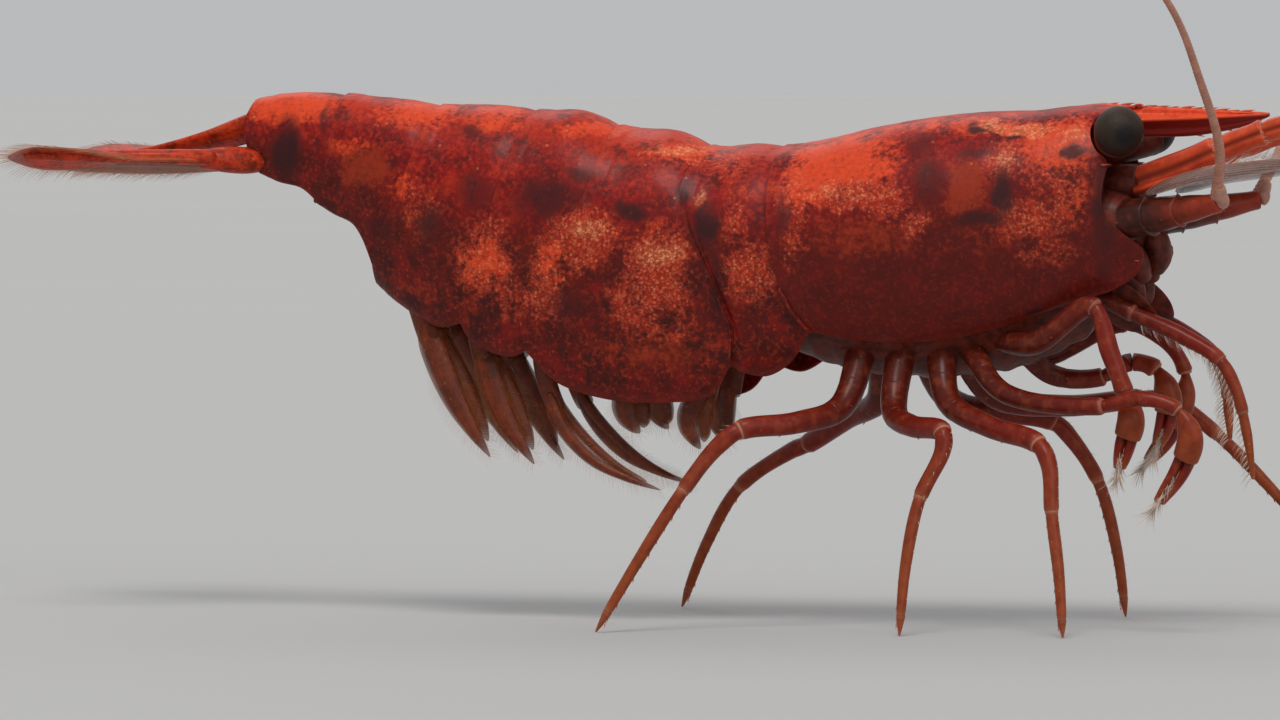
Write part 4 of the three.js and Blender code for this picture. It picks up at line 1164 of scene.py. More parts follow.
def fin_finish(name, main, edge, alpha, alpha_edge, streaks=0.08, mottle=0.5):
    """Thin fins: coloured along the middle, pale and clearer towards the edge, with fine ribs."""
    finish = Finish(name)
    grain = finish.cloud(3.0, 3.0)
    fine = finish.cloud(14.0, 2.0)
    rib = (finish.mark("across") * 75.0 + grain * 3.0).wave()
    border = finish.mark("edge")
    base = finish.coated(
        main,
        (grain.between(0.44, 0.66) * 0.4, shaded(main, 0.5)),
        (finish.cloud(1.9, 5.0, 0.66).between(0.54, 0.36) * mottle, shaded(main, 0.24)),
        (finish.cloud(9.0, 3.0, 0.6).between(0.52, 0.36) * mottle * 0.7, shaded(main, 0.3)),
        (finish.dots(7.0, 0.4, 0.4) * mottle * 0.6, shaded(main, 0.22)),
        (rib.between(0.4, 1.0) * border.between(0.05, 0.6) * streaks, edge),
        (finish.dots(8.0, 0.4, 0.34) * 0.25, edge),
        ((border + (fine - 0.5) * 0.3).between(0.8, 1.0) * 0.4, edge),
        (finish.mark("tint") * 0.3, shaded(main, 1.5, 0.01)),
    )
    clear = border.between(0.5, 1.0).over(finish.mark("along").between(0.8, 1.0))
    height = rib * 0.12 + grain * 0.6
    return finish.surface(
        base, 0.34 + fine * 0.2, height, bump=0.008 * MM,
        alpha=alpha - clear * (alpha - alpha_edge), **soft_red(0.2),
    )


def eye_finish(look):
    """Dark cornea with hazy patches, a painted soft highlight at its top and rear, and a black spot on its
    side.
    """
    finish = Finish("eye_cornea")
    haze = finish.cloud(1.8, 3.0).between(0.3, 0.7)
    split = finish.add("ShaderNodeSeparateXYZ", {0: finish.place}).outputs
    x, z = Value(finish, split["X"]), Value(finish, split["Z"])
    # Painted soft highlight towards the top and the rear of the globe.
    top = (z - 0.35 * x).between(6.95, 7.75)
    base = finish.coated(
        look.cornea,
        (haze * 0.25 + top * 0.55, look.haze),
        (finish.patch(finish.place, 12.05, 11.36, 0.2, 0.22, 0.5) * 0.8, look.spot),
        (z.between(11.15, 10.85) * 0.6, look.lower),
    )
    facets = Value(finish, finish.net(28.0)["Distance"])
    return finish.surface(
        base, 0.3 + haze * 0.12, facets, bump=0.003 * MM,
        coat_weight=0.16, coat_roughness=0.12, specular_ior_level=0.12,
    )


def bristle_finish(name, main, alpha=0.9):
    """Fine bristles, paler in places."""
    finish = Finish(name)
    grain = finish.cloud(3.0)
    base = finish.coated(main, (grain.between(0.4, 0.6), shaded(main, 1.5)))
    return finish.surface(base, 0.4 + grain * 0.2, alpha=alpha, specular_ior_level=0.3)


# ---- Geometry node trees ----


class Pattern(Graph):
    """A geometry node tree with named inputs; each is (name, socket type, default)."""

    def __init__(self, name, *inputs):
        super().__init__(bpy.data.node_groups.new(name, "GeometryNodeTree"))
        sockets = (("Geometry", "Geometry", None), *inputs, ("Material", "Material", None))
        for title, kind, default in sockets:
            socket = self._socket(title, "INPUT", kind)
            if default is not None:
                socket.default_value = default
        self._socket("Geometry", "OUTPUT", "Geometry")
        self.given = self.add("NodeGroupInput").outputs

    def _socket(self, title, way, kind):
        return self.tree.interface.new_socket(title, in_out=way, socket_type="NodeSocket" + kind)

    def held(self, name, data_type="FLOAT"):
        """What the geometry holds under a name."""
        node = self.add("GeometryNodeInputNamedAttribute", {"Name": name}, data_type=data_type)
        return node.outputs["Attribute"]

    def along(self, output="Factor"):
        """Where a point is along its curve."""
        return Value(self, self.add("GeometryNodeSplineParameter").outputs[output])

    def holding(self, geometry, name, value, data_type="FLOAT", domain="POINT"):
        """The geometry with a value held under a name."""
        sockets = {"Geometry": geometry, "Name": name, "Value": value}
        return self.add(
            "GeometryNodeStoreNamedAttribute", sockets, data_type=data_type, domain=domain
        ).outputs[0]

    def circle(self):
        """A ring of radius 1 with the given count of sides."""
        sockets = {"Resolution": self.given["Sides"], "Radius": 1.0}
        return self.add("GeometryNodeCurvePrimitiveCircle", sockets, mode="RADIUS").outputs[0]

    def skinned(self, curve, profile, radius):
        """A closed skin round a curve."""
        sockets = {"Curve": curve, "Profile Curve": profile, "Scale": radius, "Fill Caps": True}
        return self.add("GeometryNodeCurveToMesh", sockets).outputs[0]

    def real(self, geometry):
        return self.add("GeometryNodeRealizeInstances", {"Geometry": geometry}).outputs[0]

    def ended(self, geometry):
        """The whole tree, which ends in real meshes with their material."""
        sockets = {"Geometry": self.real(geometry), "Material": self.given["Material"]}
        dressed = self.add("GeometryNodeSetMaterial", sockets).outputs[0]
        self.add("NodeGroupOutput", {0: dressed})
        return self.tree


def run_tree(piece, tree, **values):
    """The tree's result as the piece's plain mesh. Values are by input name, with _ for a space."""
    modifier = piece.modifiers.new(tree.name, "NODES")
    modifier.node_group = tree
    wanted = {name.replace("_", " ").title(): value for name, value in values.items()}
    for item in tree.interface.items_tree:
        if item.in_out == "INPUT" and item.name in wanted:
            modifier[item.identifier] = wanted[item.name]
    return settled(piece)


def bristle_tree():
    """Curved tapering bristles or spines on points that hold lean, curl, reach and root."""
    tree = Pattern(
        "bristles_on_points",
        ("Girth", "Float", 0.02), ("Sides", "Int", 3), ("Bends", "Int", 4),
        ("Bend", "Float", 0.25), ("Spread", "Float", 0.1), ("Seed", "Int", 0),
    )
    given = tree.given
    end = tree.add("ShaderNodeCombineXYZ", {"Y": given["Bend"], "Z": 1.0}).outputs[0]
    stem = tree.add("GeometryNodeCurveQuadraticBezier", {
        "Resolution": given["Bends"], "Start": (0, 0, 0), "Middle": (0, 0, 0.55), "End": end})
    along = tree.along()
    marked = tree.holding(stem.outputs[0], "along", along)
    profile = tree.holding(tree.circle(), "around", tree.along())
    bristle = tree.skinned(marked, profile, (1.0 - along * 0.93) * Value(tree, given["Girth"]))

    ways = {0: (-1, -1, -1), 1: (1, 1, 1), "Seed": given["Seed"]}
    stray = tree.add("FunctionNodeRandomValue", ways, data_type="FLOAT_VECTOR").outputs[0]
    strayed = tree.vector("SCALE", stray, Scale=given["Spread"])
    lean = tree.vector("ADD", tree.held("lean", "FLOAT_VECTOR"), strayed)
    turn = tree.add(
        "FunctionNodeAxesToRotation", {0: lean, 1: tree.held("curl", "FLOAT_VECTOR")},
        primary_axis="Z", secondary_axis="Y",
    )
    shares = {2: 0.78, 3: 1.12, "Seed": given["Seed"]}
    uneven = tree.add("FunctionNodeRandomValue", shares, data_type="FLOAT").outputs[1]
    reach = Value(tree, tree.held("reach")) * Value(tree, uneven)
    grown = tree.add("GeometryNodeInstanceOnPoints", {
        "Points": given["Geometry"], "Instance": bristle, "Rotation": turn.outputs[0], "Scale": reach})

    swatch = tree.add("ShaderNodeCombineXYZ", {"X": tree.held("along"), "Y": tree.held("around")})
    spot = tree.vector(
        "MULTIPLY_ADD", swatch.outputs[0], (0.003, 0.003, 0), tree.held("root", "FLOAT_VECTOR")
    )
    return tree.ended(tree.holding(tree.real(grown.outputs[0]), "OFBake", spot, "FLOAT2", "CORNER"))


def feeler_tree():
    """A ringed tapering feeler along a line of points that hold girth."""
    tree = Pattern(
        "ringed_feeler",
        ("Ring Length", "Float", 0.00017), ("Ring Depth", "Float", 0.2), ("Sides", "Int", FEELER_SIDES),
    )
    ring = Value(tree, tree.given["Ring Length"])
    line = tree.add("GeometryNodeMeshToCurve", {"Mesh": tree.given["Geometry"]}).outputs[0]
    steps = tree.add("GeometryNodeResampleCurve", {"Curve": line, "Length": ring * 0.25}, mode="LENGTH")
    saw = (tree.along("Length") / ring).fraction()
    girth = Value(tree, tree.held("girth"))
    radius = girth * (1.0 - (1.0 - saw) * Value(tree, tree.given["Ring Depth"]))
    marked = tree.holding(steps.outputs[0], "tint", (1.0 - saw) * 0.55)
    return tree.ended(tree.skinned(marked, tree.circle(), radius))


def facet_tree():
    """A globe of six-sided facets, each a little dome."""
    tree = Pattern(
        "faceted_eye",
        ("Radius", "Float", 0.00057), ("Centre", "Vector", None), ("Splits", "Int", 5),
        ("Facet Depth", "Float", 0.000006),
    )
    given = tree.given
    sockets = {"Radius": given["Radius"], "Subdivisions": given["Splits"]}
    globe = tree.add("GeometryNodeMeshIcoSphere", sockets).outputs[0]
    facets = tree.add("GeometryNodeDualMesh", {"Mesh": globe}).outputs[0]
    sockets = {"Mesh": facets, "Offset Scale": given["Facet Depth"], "Individual": True}
    raised = tree.add("GeometryNodeExtrudeMesh", sockets, mode="FACES").outputs
    sockets = {"Geometry": raised["Mesh"], "Selection": raised["Top"], "Scale": 0.72}
    domes = tree.add("GeometryNodeScaleElements", sockets, domain="FACE").outputs[0]
    sockets = {"Geometry": domes, "Translation": given["Centre"]}
    return tree.ended(tree.add("GeometryNodeTransform", sockets).outputs[0])


class Bristles:
    """Roots of bristles, with where each leans, curls and how far it reaches."""

    def __init__(self):
        self.rows, self.strips = [], 0

    def sow(self, roots, leans, curls, reaches):
        count = len(roots)
        strip = np.full(count, self.strips, float)
        along = np.linspace(0, 1, count) if count > 1 else np.array([0.5])
        reaches = np.broadcast_to(reaches, (count,))
        curls = np.broadcast_to(curls, (count, 3))
        self.rows.append(np.column_stack([roots, unit(leans), unit(curls), reaches, along, strip]))
        self.strips += 1

    def to_object(self, name, tree, **shape):
        """The bristles as one piece. Each has its own spot on the UV map."""
        rows = np.vstack(self.rows)
        mesh = meshed(name, rows[:, :3])
        strip = (rows[:, 11] + 0.5) / self.strips
        root = np.column_stack([0.01 + 0.97 * rows[:, 10], 0.01 + 0.97 * strip, np.zeros(len(rows))])
        for mark, values in (("lean", rows[:, 3:6]), ("curl", rows[:, 6:9]), ("root", root)):
            hold(mesh, mark, values, "FLOAT_VECTOR", "vector")
        hold(mesh, "reach", rows[:, 9] * MM)
        return run_tree(placed(name, mesh), tree, **shape)


# ---- Shell ----


def plate_grid(front, rear, lower, front_run, rear_run, lifts, slices, ribs):
    """The outer face of a body plate between two edges drawn in side view, and its marks.

    The margins run on past the edges, and stand out or lie in by their lifts.
    """
    turn = np.linspace(-np.pi / 2, np.pi / 2, 2 * ribs + 1)
    down = (1 - np.cos(turn))[None, :]
    front_line, rear_line = curve_at(front, down), curve_at(rear, down)
    depth = np.linalg.norm(front_line - rear_line, axis=-1)
    s = end_spaced(slices)[:, None]
    u = -front_run / depth + (1 + (front_run + rear_run) / depth) * s
    blend = u[..., None]
    flat = (1 - blend) * front_line + blend * rear_line
    top_x = (1 - blend) * front[0][0] + blend * rear[0][0]
    top = np.concatenate([top_x, value_at(BACK_LINE, top_x)], axis=-1)
    straight_top = (1 - blend) * np.array(front[0]) + blend * np.array(rear[0])
    flat = flat + (top - straight_top) * (1 - down[..., None])
    straight_low = (1 - blend) * np.array(front[-1]) + blend * np.array(rear[-1])
    flat = flat + (curve_at(lower, u) - straight_low) * down[..., None]
    side = np.sign(turn)[None, :]
    y = np.where(np.abs(turn) < 1e-6, 0.0, half_width_at(flat[..., 0], flat[..., 1])) * side
    grid = np.stack([flat[..., 0], y, flat[..., 1]], axis=-1)
    from_front, from_rear = u * depth, (1 - u) * depth
    (front_top, front_low), (rear_top, rear_low) = lifts
    low = ease((down - 0.3) / 0.25)
    lift = (front_top + (front_low - front_top) * low) * ease(1 - from_front / FRONT_MARGIN)
    lift = lift + (rear_top + (rear_low - rear_top) * low) * ease(1 - from_rear / REAR_MARGIN)
    groove_at, groove_width, groove_depth = RIM_GROOVE
    lift = lift - groove_depth * np.exp(-(((from_rear - groove_at) / groove_width) ** 2))
    lift = lift - LOWER_TUCK * ease((down - 0.96) / 0.04)
    for scale, height, offset in PLATE_UNEVENNESS:
        lift = lift + wobble(grid, scale, height, offset)
    grid = grid + grid_normals(grid) * lift[..., None]
    marks = {"down": down, "rim": ease(1 - from_rear / 0.3), "hem": ease((down - 0.93) / 0.06)}
    return grid, marks


def make_plate(name, finish, look, node, edges, **sizes):
    """One plate of the shell between its front, rear and lower edges."""
    form = Form()
    grid, marks = plate_grid(*edges, **sizes)
    form.sheet(grid, **marks)
    piece = form.to_object(name, finish, closed=False)
    belongs(walled(piece, look.thickness, 0.2 * look.thickness), "shell", node)


def make_carapace(look):
    """The shell of the head and chest, open round the eyes."""
    finish = shell_finish("carapace_shell", look, CARAPACE_MARKS, mottle=0.3)
    make_plate(
        "carapace_shell", finish, look, "carapace", (CARAPACE_FRONT, CARAPACE_REAR, CARAPACE_LOWER),
        front_run=0.0, rear_run=REAR_RUN, lifts=((0.0, 0.02), (0.035, 0.03)), **CARAPACE_MESH,
    )


def make_abdomen(look):
    """The six overlapping rings of the abdomen."""
    finish = shell_finish("abdomen_shell", look, ABDOMEN_MARKS, mottle=0.9)
    rears = [REAR_RUN] * 5 + [LAST_REAR_RUN]
    rings = zip(SEAMS[:-1], SEAMS[1:], LOWER_EDGES, MARGIN_LIFTS, rears, strict=True)
    for k, (front, rear, lower, lifts, rear_run) in enumerate(rings, start=1):
        make_plate(
            f"ring_{k}_shell", finish, look, f"abdomen_{k}", (front, rear, lower),
            front_run=look.overlap / MM, rear_run=rear_run, lifts=lifts, **RING_MESH,
        )


def make_rostrum(look, spines):
    """The rostrum: a blade with a ridge along each side, its teeth and the head's spines."""
    rows = np.array(ROSTRUM_ROWS)
    x = np.concatenate([np.linspace(*part) for part in ROSTRUM_SLICES])
    top, ridge, keel, half = (value_at(rows[:, [0, k]], x) for k in (1, 2, 3, 4))
    zero = np.zeros_like(x)
    outline = [
        (zero, top), (0.09 + 0.1 * half, top - 0.05), (0.5 * half, 0.45 * top + 0.55 * ridge),
        (half, ridge + 0.02), (0.92 * half, ridge - 0.04), (0.45 * half, 0.5 * (ridge + keel)),
        (0.07 + 0.08 * half, keel + 0.05), (zero, keel),
    ]
    tip = np.clip((ROSTRUM_END - x) / ROSTRUM_POINT, 0, 1) ** 0.5
    half_ring = np.stack([np.stack([y * tip, z], axis=-1) for y, z in outline], axis=1)
    share = np.linspace(0, 1, ROSTRUM_SIDE_POINTS)
    fine = np.stack([curve_at(ring, share, 2) for ring in half_ring])
    right = np.stack([np.broadcast_to(x[:, None], fine.shape[:2]), -fine[..., 0], fine[..., 1]], axis=-1)
    left = right[:, -2:0:-1] * [1, -1, 1]
    form = Form()
    form.rings(np.concatenate([right, left], axis=1), down=np.concatenate([share, share[-2:0:-1]])[None, :])
    belongs(form.to_object("rostrum_blade", rostrum_finish(look)), "rostrum", "rostrum")
    for first, last, count, column, above, lean, reach in ROSTRUM_TEETH:
        x = np.linspace(first, last, count)
        roots = np.stack([x, 0 * x, value_at(rows[:, [0, column]], x) + above], axis=1)
        spines.sow(roots, np.tile([1.0, 0, lean], (count, 1)), -np.sign(lean) * UP, reach)
    for _, side in SIDES:
        for root, lean, reach in HEAD_SPINES:
            spines.sow(to_side([root], side), np.array(to_side([lean], side)), UP, reach)


# ---- Flesh and eyes ----


def make_underside(finish):
    """One skin for the soft trunk that shows between the limbs and under the rings."""
    form = Form()
    x = np.linspace(*TRUNK_ENDS, TRUNK_MESH["slices"])
    bottom, top = value_at(UNDERSIDE, x), value_at(WIDEST_LEVEL, x) + 0.25
    bottom = bottom - 0.05 * np.sin(x * 5.2) ** 2
    middle, half_height = (top + bottom) / 2, (top - bottom) / 2
    s = np.linspace(0, 1, len(x))
    close = np.maximum(rounded_ends(s, 0.03, 0.03), 0.03)
    wide = (0.88 * value_at(HALF_WIDTH, x) - 0.12) * close
    angle = around(TRUNK_MESH["sides"])
    z = middle[:, None] + (half_height * close)[:, None] * np.sin(angle)
    narrow = 1 - 0.22 * np.clip(-np.sin(angle), 0, 1)
    y = wide[:, None] * np.cos(angle) * narrow
    rings = np.stack([np.broadcast_to(x[:, None], y.shape), y, z], axis=-1)
    rings = rings + wobble(rings, 2.5, 0.05)[..., None] * [0, 0.5, 1]
    form.rings(rings)
    belongs(form.to_object("underside_skin", finish), "flesh", "thorax")


def make_face(finish):
    """The front of the head under the eyes, with lips, jaws and mouth blades."""
    form = Form()
    s = end_spaced(40)
    radius = curve_at(FACE_CORE, s)[:, 3] * np.maximum(rounded_ends(s, 0.05, 0.12), 0.05)
    rings = swept(FACE_CORE, s, radius, radius * 1.12, OUT, 44).rings
    rings = rings + wobble(rings, 2.2, 0.09)[..., None] * unit(rings - rings.mean(axis=1, keepdims=True))
    form.rings(rings)
    hard_length(form, LIP, 0, 3, 0.9, 0.9, OUT, 0.8, sides=28)
    for _, side in SIDES:
        for cushion, flat in FACE_CUSHIONS:
            hard_length(form, to_side(cushion, side), 0, 3, 0.85, 0.96, OUT, flat, sides=32)
        hard_length(form, to_side(JAW, side), 0, 3, 0.9, 1.0, AHEAD, 0.7)
        for blade, turn in MOUTH_BLADES:
            leaf(form, to_side(blade, side), OUT, MOUTH_BLADE_THICKNESS, turn=turn * side)
    belongs(form.to_object("face_skin", finish), "flesh", "face")


def make_eyes(context, flesh):
    """Faceted eyes, each in a flared stalk."""
    look = context.scene.shrimp_eye
    tree, finish = facet_tree(), eye_finish(look)
    for word, side in SIDES:
        name = f"eye_{word}_cornea"
        piece = run_tree(
            placed(name, bpy.data.meshes.new(name)), tree, radius=EYE_RADIUS * MM,
            centre=to_frame(to_side([EYE_CENTRE], side)[0]).tolist(),
            splits=look.facet_splits, facet_depth=look.facet_depth, material=finish,
        )
        belongs(piece, "eye", f"eye_{word}")
        form = Form()
        hard_length(form, to_side(EYESTALK, side), 0, 3, 0.9, 1.02, UP, steps=34, sides=32)
        belongs(form.to_object(f"eye_{word}_stalk", flesh), "flesh", f"eyestalk_{word}")


# ---- Fins ----

Margin = namedtuple("Margin", "centre side rise forward half share")


def leaf(form, rows, across, thickness, turn=0.0, base=0.25, tip=0.14, cup=0.0, taper=0.45, pale=1.0):
    """A thin blade along a path, rounded at its ends. Returns what its fringe needs."""
    s = end_spaced(64)
    half = curve_at(rows, s)[:, 3] * np.maximum(rounded_ends(s, base, tip), 0.04)
    thick = thickness / 2 * (1 - taper * s) * np.maximum(rounded_ends(s, 0.06, 0.1), 0.1)
    if np.size(turn) > 1:
        turn = np.interp(s, np.linspace(0, 1, np.size(turn)), turn)
    rings, centre, side, rise, forward = swept(rows, s, half, thick, across, 32, turn)
    out = np.cos(around(32))[None, :]
    rings = rings + rise[:, None] * (cup * half[:, None] * (0.5 - out**2))[..., None]
    form.rings(rings, edge=pale * np.abs(out), across=out * half[:, None], along=pale * s[:, None])
    return Margin(centre - rise * (0.5 * cup * half)[:, None], side, rise, forward, half, s)


def fringe(bristles, margin, spacing, reach, start=0.12, edges=(-1, 1)):
    """Bristles along the edges of a blade, leaning outwards and towards its tip."""
    for edge in edges:
        line = margin.centre + margin.side * (margin.half * edge)[:, None]
        away = edge * unit(np.cross(margin.rise, unit(np.gradient(line, axis=0))))
        kept = margin.share > start
        line, away, ahead, up, share = (
            values[kept] for values in (line, away, margin.forward, margin.rise, margin.share)
        )
        walked = np.concatenate([[0], np.cumsum(np.linalg.norm(np.diff(line, axis=0), axis=1))])
        stops = np.arange(0.5 * spacing, walked[-1], spacing)

        def along(values, stops=stops, walked=walked):
            return np.stack([np.interp(stops, walked, values[:, k]) for k in range(3)], axis=1)

        grow = ease(np.interp(stops, walked, (share - start) / 0.25) + 0.25)
        leans = along(away) * 0.8 + along(ahead) * 0.55
        bristles.sow(along(line) - along(away) * 0.02, leans, along(up), reach * grow)


def make_tail_fan(context, bristles, spines):
    """The telson and the two pairs of tail fins with the joints that carry them."""
    look = context.scene.shrimp_fin
    thickness = look.thickness / MM
    step = context.scene.shrimp_bristle.spacing / MM
    finish = fin_finish("tail_fin", look.fin, look.fin_edge, 1.0, 0.66, streaks=0.2, mottle=0.85)
    clear = fin_finish("inner_tail_fin", look.inner, look.inner_edge, 0.85, 0.4, streaks=0.3)
    form = Form()
    margin = leaf(form, TELSON, OUT, TELSON_THICKNESS, base=0.1, tip=0.08, cup=0.3, taper=0.84, pale=0.4)
    fringe(bristles, margin, step, 0.5, start=0.93)
    belongs(form.to_object("telson_blade", finish), "fin", "telson")
    for share in TELSON_SPINE_PLACES:
        k = int(np.argmin(np.abs(margin.share - share)))
        up = margin.rise[k]
        for edge in (-1, 1):
            root = margin.centre[k] + margin.side[k] * margin.half[k] * 0.55 * edge + up * 0.1
            spines.sow(root[None], (margin.forward[k] + up * 0.35)[None], -UP, 0.22)
    for word, side in SIDES:
        form = Form()
        hard_length(form, to_side(FIN_ROOT, side), 0, 3, 0.9, 1.04, OUT, 0.85, sides=28, pale=0.5)
        turn = np.array(OUTER_FIN_TURN) * side
        margin = leaf(form, to_side(OUTER_FIN, side), OUT, 1.5 * thickness, turn, cup=-0.12)
        rib = [
            [x, y + side * min(0.26, 0.04 + 0.2 * k), z + 0.04, 0.25 - 0.026 * k]
            for k, (x, y, z, _) in enumerate(to_side(OUTER_FIN, side))
        ]
        hard_length(form, rib, 0, 3.5, 1.0, 0.7, OUT, 0.8, sides=16, steps=60, pale=0.0)
        fringe(bristles, margin, step, 0.62, start=0.3)
        belongs(form.to_object(f"tail_fin_outer_{word}", finish), "fin", f"uropod_outer_{word}")
        form = Form()
        margin = leaf(form, to_side(INNER_FIN, side), OUT, thickness, turn=-0.25 * side, cup=-0.1)
        fringe(bristles, margin, step, 0.55, start=0.2)
        belongs(form.to_object(f"tail_fin_inner_{word}", clear), "fin", f"uropod_inner_{word}")


def make_swimming_limbs(context, bristles):
    """Five pairs of swimming limbs, each a flat stalk with two fringed blades."""
    look = context.scene.shrimp_fin
    thickness = look.thickness / MM
    step = context.scene.shrimp_bristle.spacing / MM * 0.9
    finish = fin_finish("swimming_limb", look.blade, look.blade_edge, 0.94, 0.5)
    first = PLEOPOD_BLADE_START
    for k, rows in enumerate(PLEOPODS, start=1):
        for word, side in SIDES:
            form = Form()
            path = rooted(to_side(rows, side), *PLEOPOD_ROOT)
            stalk = slimmer(path, [PLEOPOD_STALK["width"]] * len(path))
            hard_length(form, stalk, 0, PLEOPOD_STALK["end"] * (len(path) - 1), 0.9, 1.05, AHEAD, 0.6)
            for bow, out, width, stop in PLEOPOD_BLADES:
                t = np.linspace(first, stop, 6)
                blade = curve_at(path, t)
                blade[:, 0] += bow * np.sin(np.pi * (t - first) / (1 - first))
                blade[:, 1] += out * side
                blade[:, 3] *= width
                margin = leaf(form, blade, AHEAD, thickness, turn=0.25 * side, base=0.2, tip=0.2, cup=0.15)
                fringe(bristles, margin, step, 0.32, start=0.25)
            belongs(form.to_object(f"swimming_limb_{k}_{word}", finish), "fin", f"pleopod_{k}_{word}")


# ---- Limbs ----


def floor_stop(rows, tip=0.02):
    """The row along a limb's path where its point meets the floor, or its last row."""
    last = len(rows) - 1
    places = np.linspace(last - 1, last, 200)
    levels = curve_at(rows, places / last)[:, 2]
    below = np.nonzero(levels < tip)[0]
    return places[below[0]] if len(below) else float(last)


def spikes_along(spines, rows, start, stop, count, reach, way, lift=0.6):
    """A row of small spines on one side of a limb."""
    t = np.linspace(start, stop, count) / (len(rows) - 1)
    path = curve_at(rows, t)
    forward = unit(np.gradient(path[:, :3], axis=0))
    away = unit(way - forward * np.sum(way * forward, axis=1, keepdims=True))
    spines.sow(path[:, :3] + away * path[:, 3:4] * 0.8, forward + away * lift, -away, reach)


def make_walking_legs(finish, spines, bristles):
    """The three pairs of long legs that the shrimp stands on."""
    for name, rows in each_limb(WALKING_LEGS):
        path = slimmer(rooted(rows, *WALKING_ROOT), WALKING_GIRTHS)
        form = Form()
        jointed(form, path, WALKING_LENGTHS, WALKING_JOINTS, AHEAD, size=0.98)
        foot = floor_stop(path)
        s = end_spaced(20)
        t = (FOOT_START + (foot - FOOT_START) * s) / (len(path) - 1)
        taper = (1.02 - 0.8 * s**1.4) * np.maximum(rounded_ends(s, 0.1, 0.04), 0.1)
        radius = curve_at(path, t)[:, 3] * taper
        rings = swept(path, t, radius, radius, AHEAD, 14).rings
        form.rings(rings, tint=(0.2 * s)[:, None], along=s[:, None], reach=t[:, None])
        belongs(form.to_object(f"walking_{name}", finish), "limb", name)
        under = np.array([0.3 if name.startswith("leg_5") else -0.6, 0.0, -1.0])
        start, count, reach = FOOT_SPINES
        for row in (SHIN_SPINES, (start, foot - 0.12, count, reach), THIGH_SPINES):
            spikes_along(spines, path, *row, under)
        spikes_along(bristles, path, *LEG_HAIRS, -under, 1.2)


def make_claw_legs(finish, brushes):
    """The two pairs of short claws with spoon fingers and long brushes."""
    for name, rows in each_limb(CLAW_LEGS):
        path = slimmer(rooted(rows, *CLAW_ROOT), CLAW_GIRTHS)
        form = Form()
        jointed(form, path, CLAW_LENGTHS, CLAW_JOINTS, AHEAD)
        hard_length(form, path, *CLAW_PALM, 0.55, 0.96, AHEAD, 0.8, swell=0.06)
        t = np.linspace(*CLAW_FINGERS, FINGER_POINTS) / (len(path) - 1)
        _, centre, across, rise, forward = swept(path, t, 0 * t, 0 * t, AHEAD, 4)
        s = np.linspace(0, 1, FINGER_POINTS)
        for sign, length_share in FINGER_SIDES:
            away = sign * (0.115 + 0.025 * np.sin(np.pi * s) - 0.05 * s)
            line = centre + across * away[:, None]
            line = line[0] + (line - line[0]) * length_share
            finger = np.column_stack([line, 0.14 - 0.06 * s]).tolist()
            hard_length(form, finger, 0, FINGER_POINTS - 1, 0.95, 0.9, AHEAD, 1.35, sides=16)
            inner = -sign * across
            for share in np.linspace(0.35, 1.0, BRUSHES_ON_FINGER):
                at = int(round(share * (FINGER_POINTS - 1)))
                root = line[at] + inner[at] * 0.04
                fan = np.linspace(-0.5, 0.5, BRISTLES_IN_BRUSH)[:, None] * rise[at]
                leans = forward[at] + fan + inner[at] * 0.1
                brushes.sow(np.tile(root, (len(leans), 1)), leans, inner[at], 0.36 + 0.3 * share)
        belongs(form.to_object(f"claw_{name}", finish), "limb", name)


def make_maxillipeds(finish, brushes):
    """The pair of hairy feeding limbs that hang in front of the mouth."""
    for name, path in each_limb(MAXILLIPEDS):
        form = Form()
        jointed(form, path, MAXILLIPED_LENGTHS, MAXILLIPED_JOINTS, OUT, size=0.98, flat=0.92)
        belongs(form.to_object(f"feeding_{name}", finish), "limb", name)
        for start, stop, count, reach in MAXILLIPED_HAIRS:
            for t in np.linspace(start, stop, count) / (len(path) - 1):
                about = curve_at(path, np.array([t - 0.01, t, min(t + 0.01, 1.0)]))
                forward = unit(about[2, :3] - about[0, :3])
                inner = unit(np.cross(forward, OUT))
                inner = inner if inner[0] < 0 or inner[2] < -0.9 else -inner
                roots = np.tile(about[1, :3] + inner * about[1, 3] * 0.75, (HAIRS_IN_TUFT, 1))
                roots[:, 1] += np.linspace(-0.8, 0.8, HAIRS_IN_TUFT) * about[1, 3]
                leans = inner + forward * 0.75 + np.outer(np.linspace(-0.5, 0.5, HAIRS_IN_TUFT), OUT)
                brushes.sow(roots, leans, forward, reach)


# ---- Feelers ----


def make_whip(name, rows, side, tree, finish, look):
    """One ringed feeler."""
    path = curve_at(to_side(rows, side), np.linspace(0, 1, FEELER_POINTS))
    mesh = meshed(name, path[:, :3], edges=[(k, k + 1) for k in range(FEELER_POINTS - 1)])
    hold(mesh, "girth", path[:, 3] * MM)
    piece = run_tree(
        placed(name, mesh), tree, ring_length=look.annulus, ring_depth=look.annulus_depth,
        sides=FEELER_SIDES, material=finish,
    )
    belongs(piece, "feeler")


def end_hairs(bristles, rows, at, reach, count=14):
    """A ring of short hairs round the end of a length."""
    path = curve_at(rows, np.array([at - 0.02, at]) / (len(rows) - 1))
    forward = unit(path[1, :3] - path[0, :3])
    side = unit(np.cross(forward, UP))
    rise = np.cross(side, forward)
    angle = np.arange(count) / count * 2 * np.pi
    spokes = np.outer(np.cos(angle), side) + np.outer(np.sin(angle), rise)
    bristles.sow(path[1, :3] + spokes * path[1, 3] * 0.95, spokes * 0.5 + forward, forward, reach)


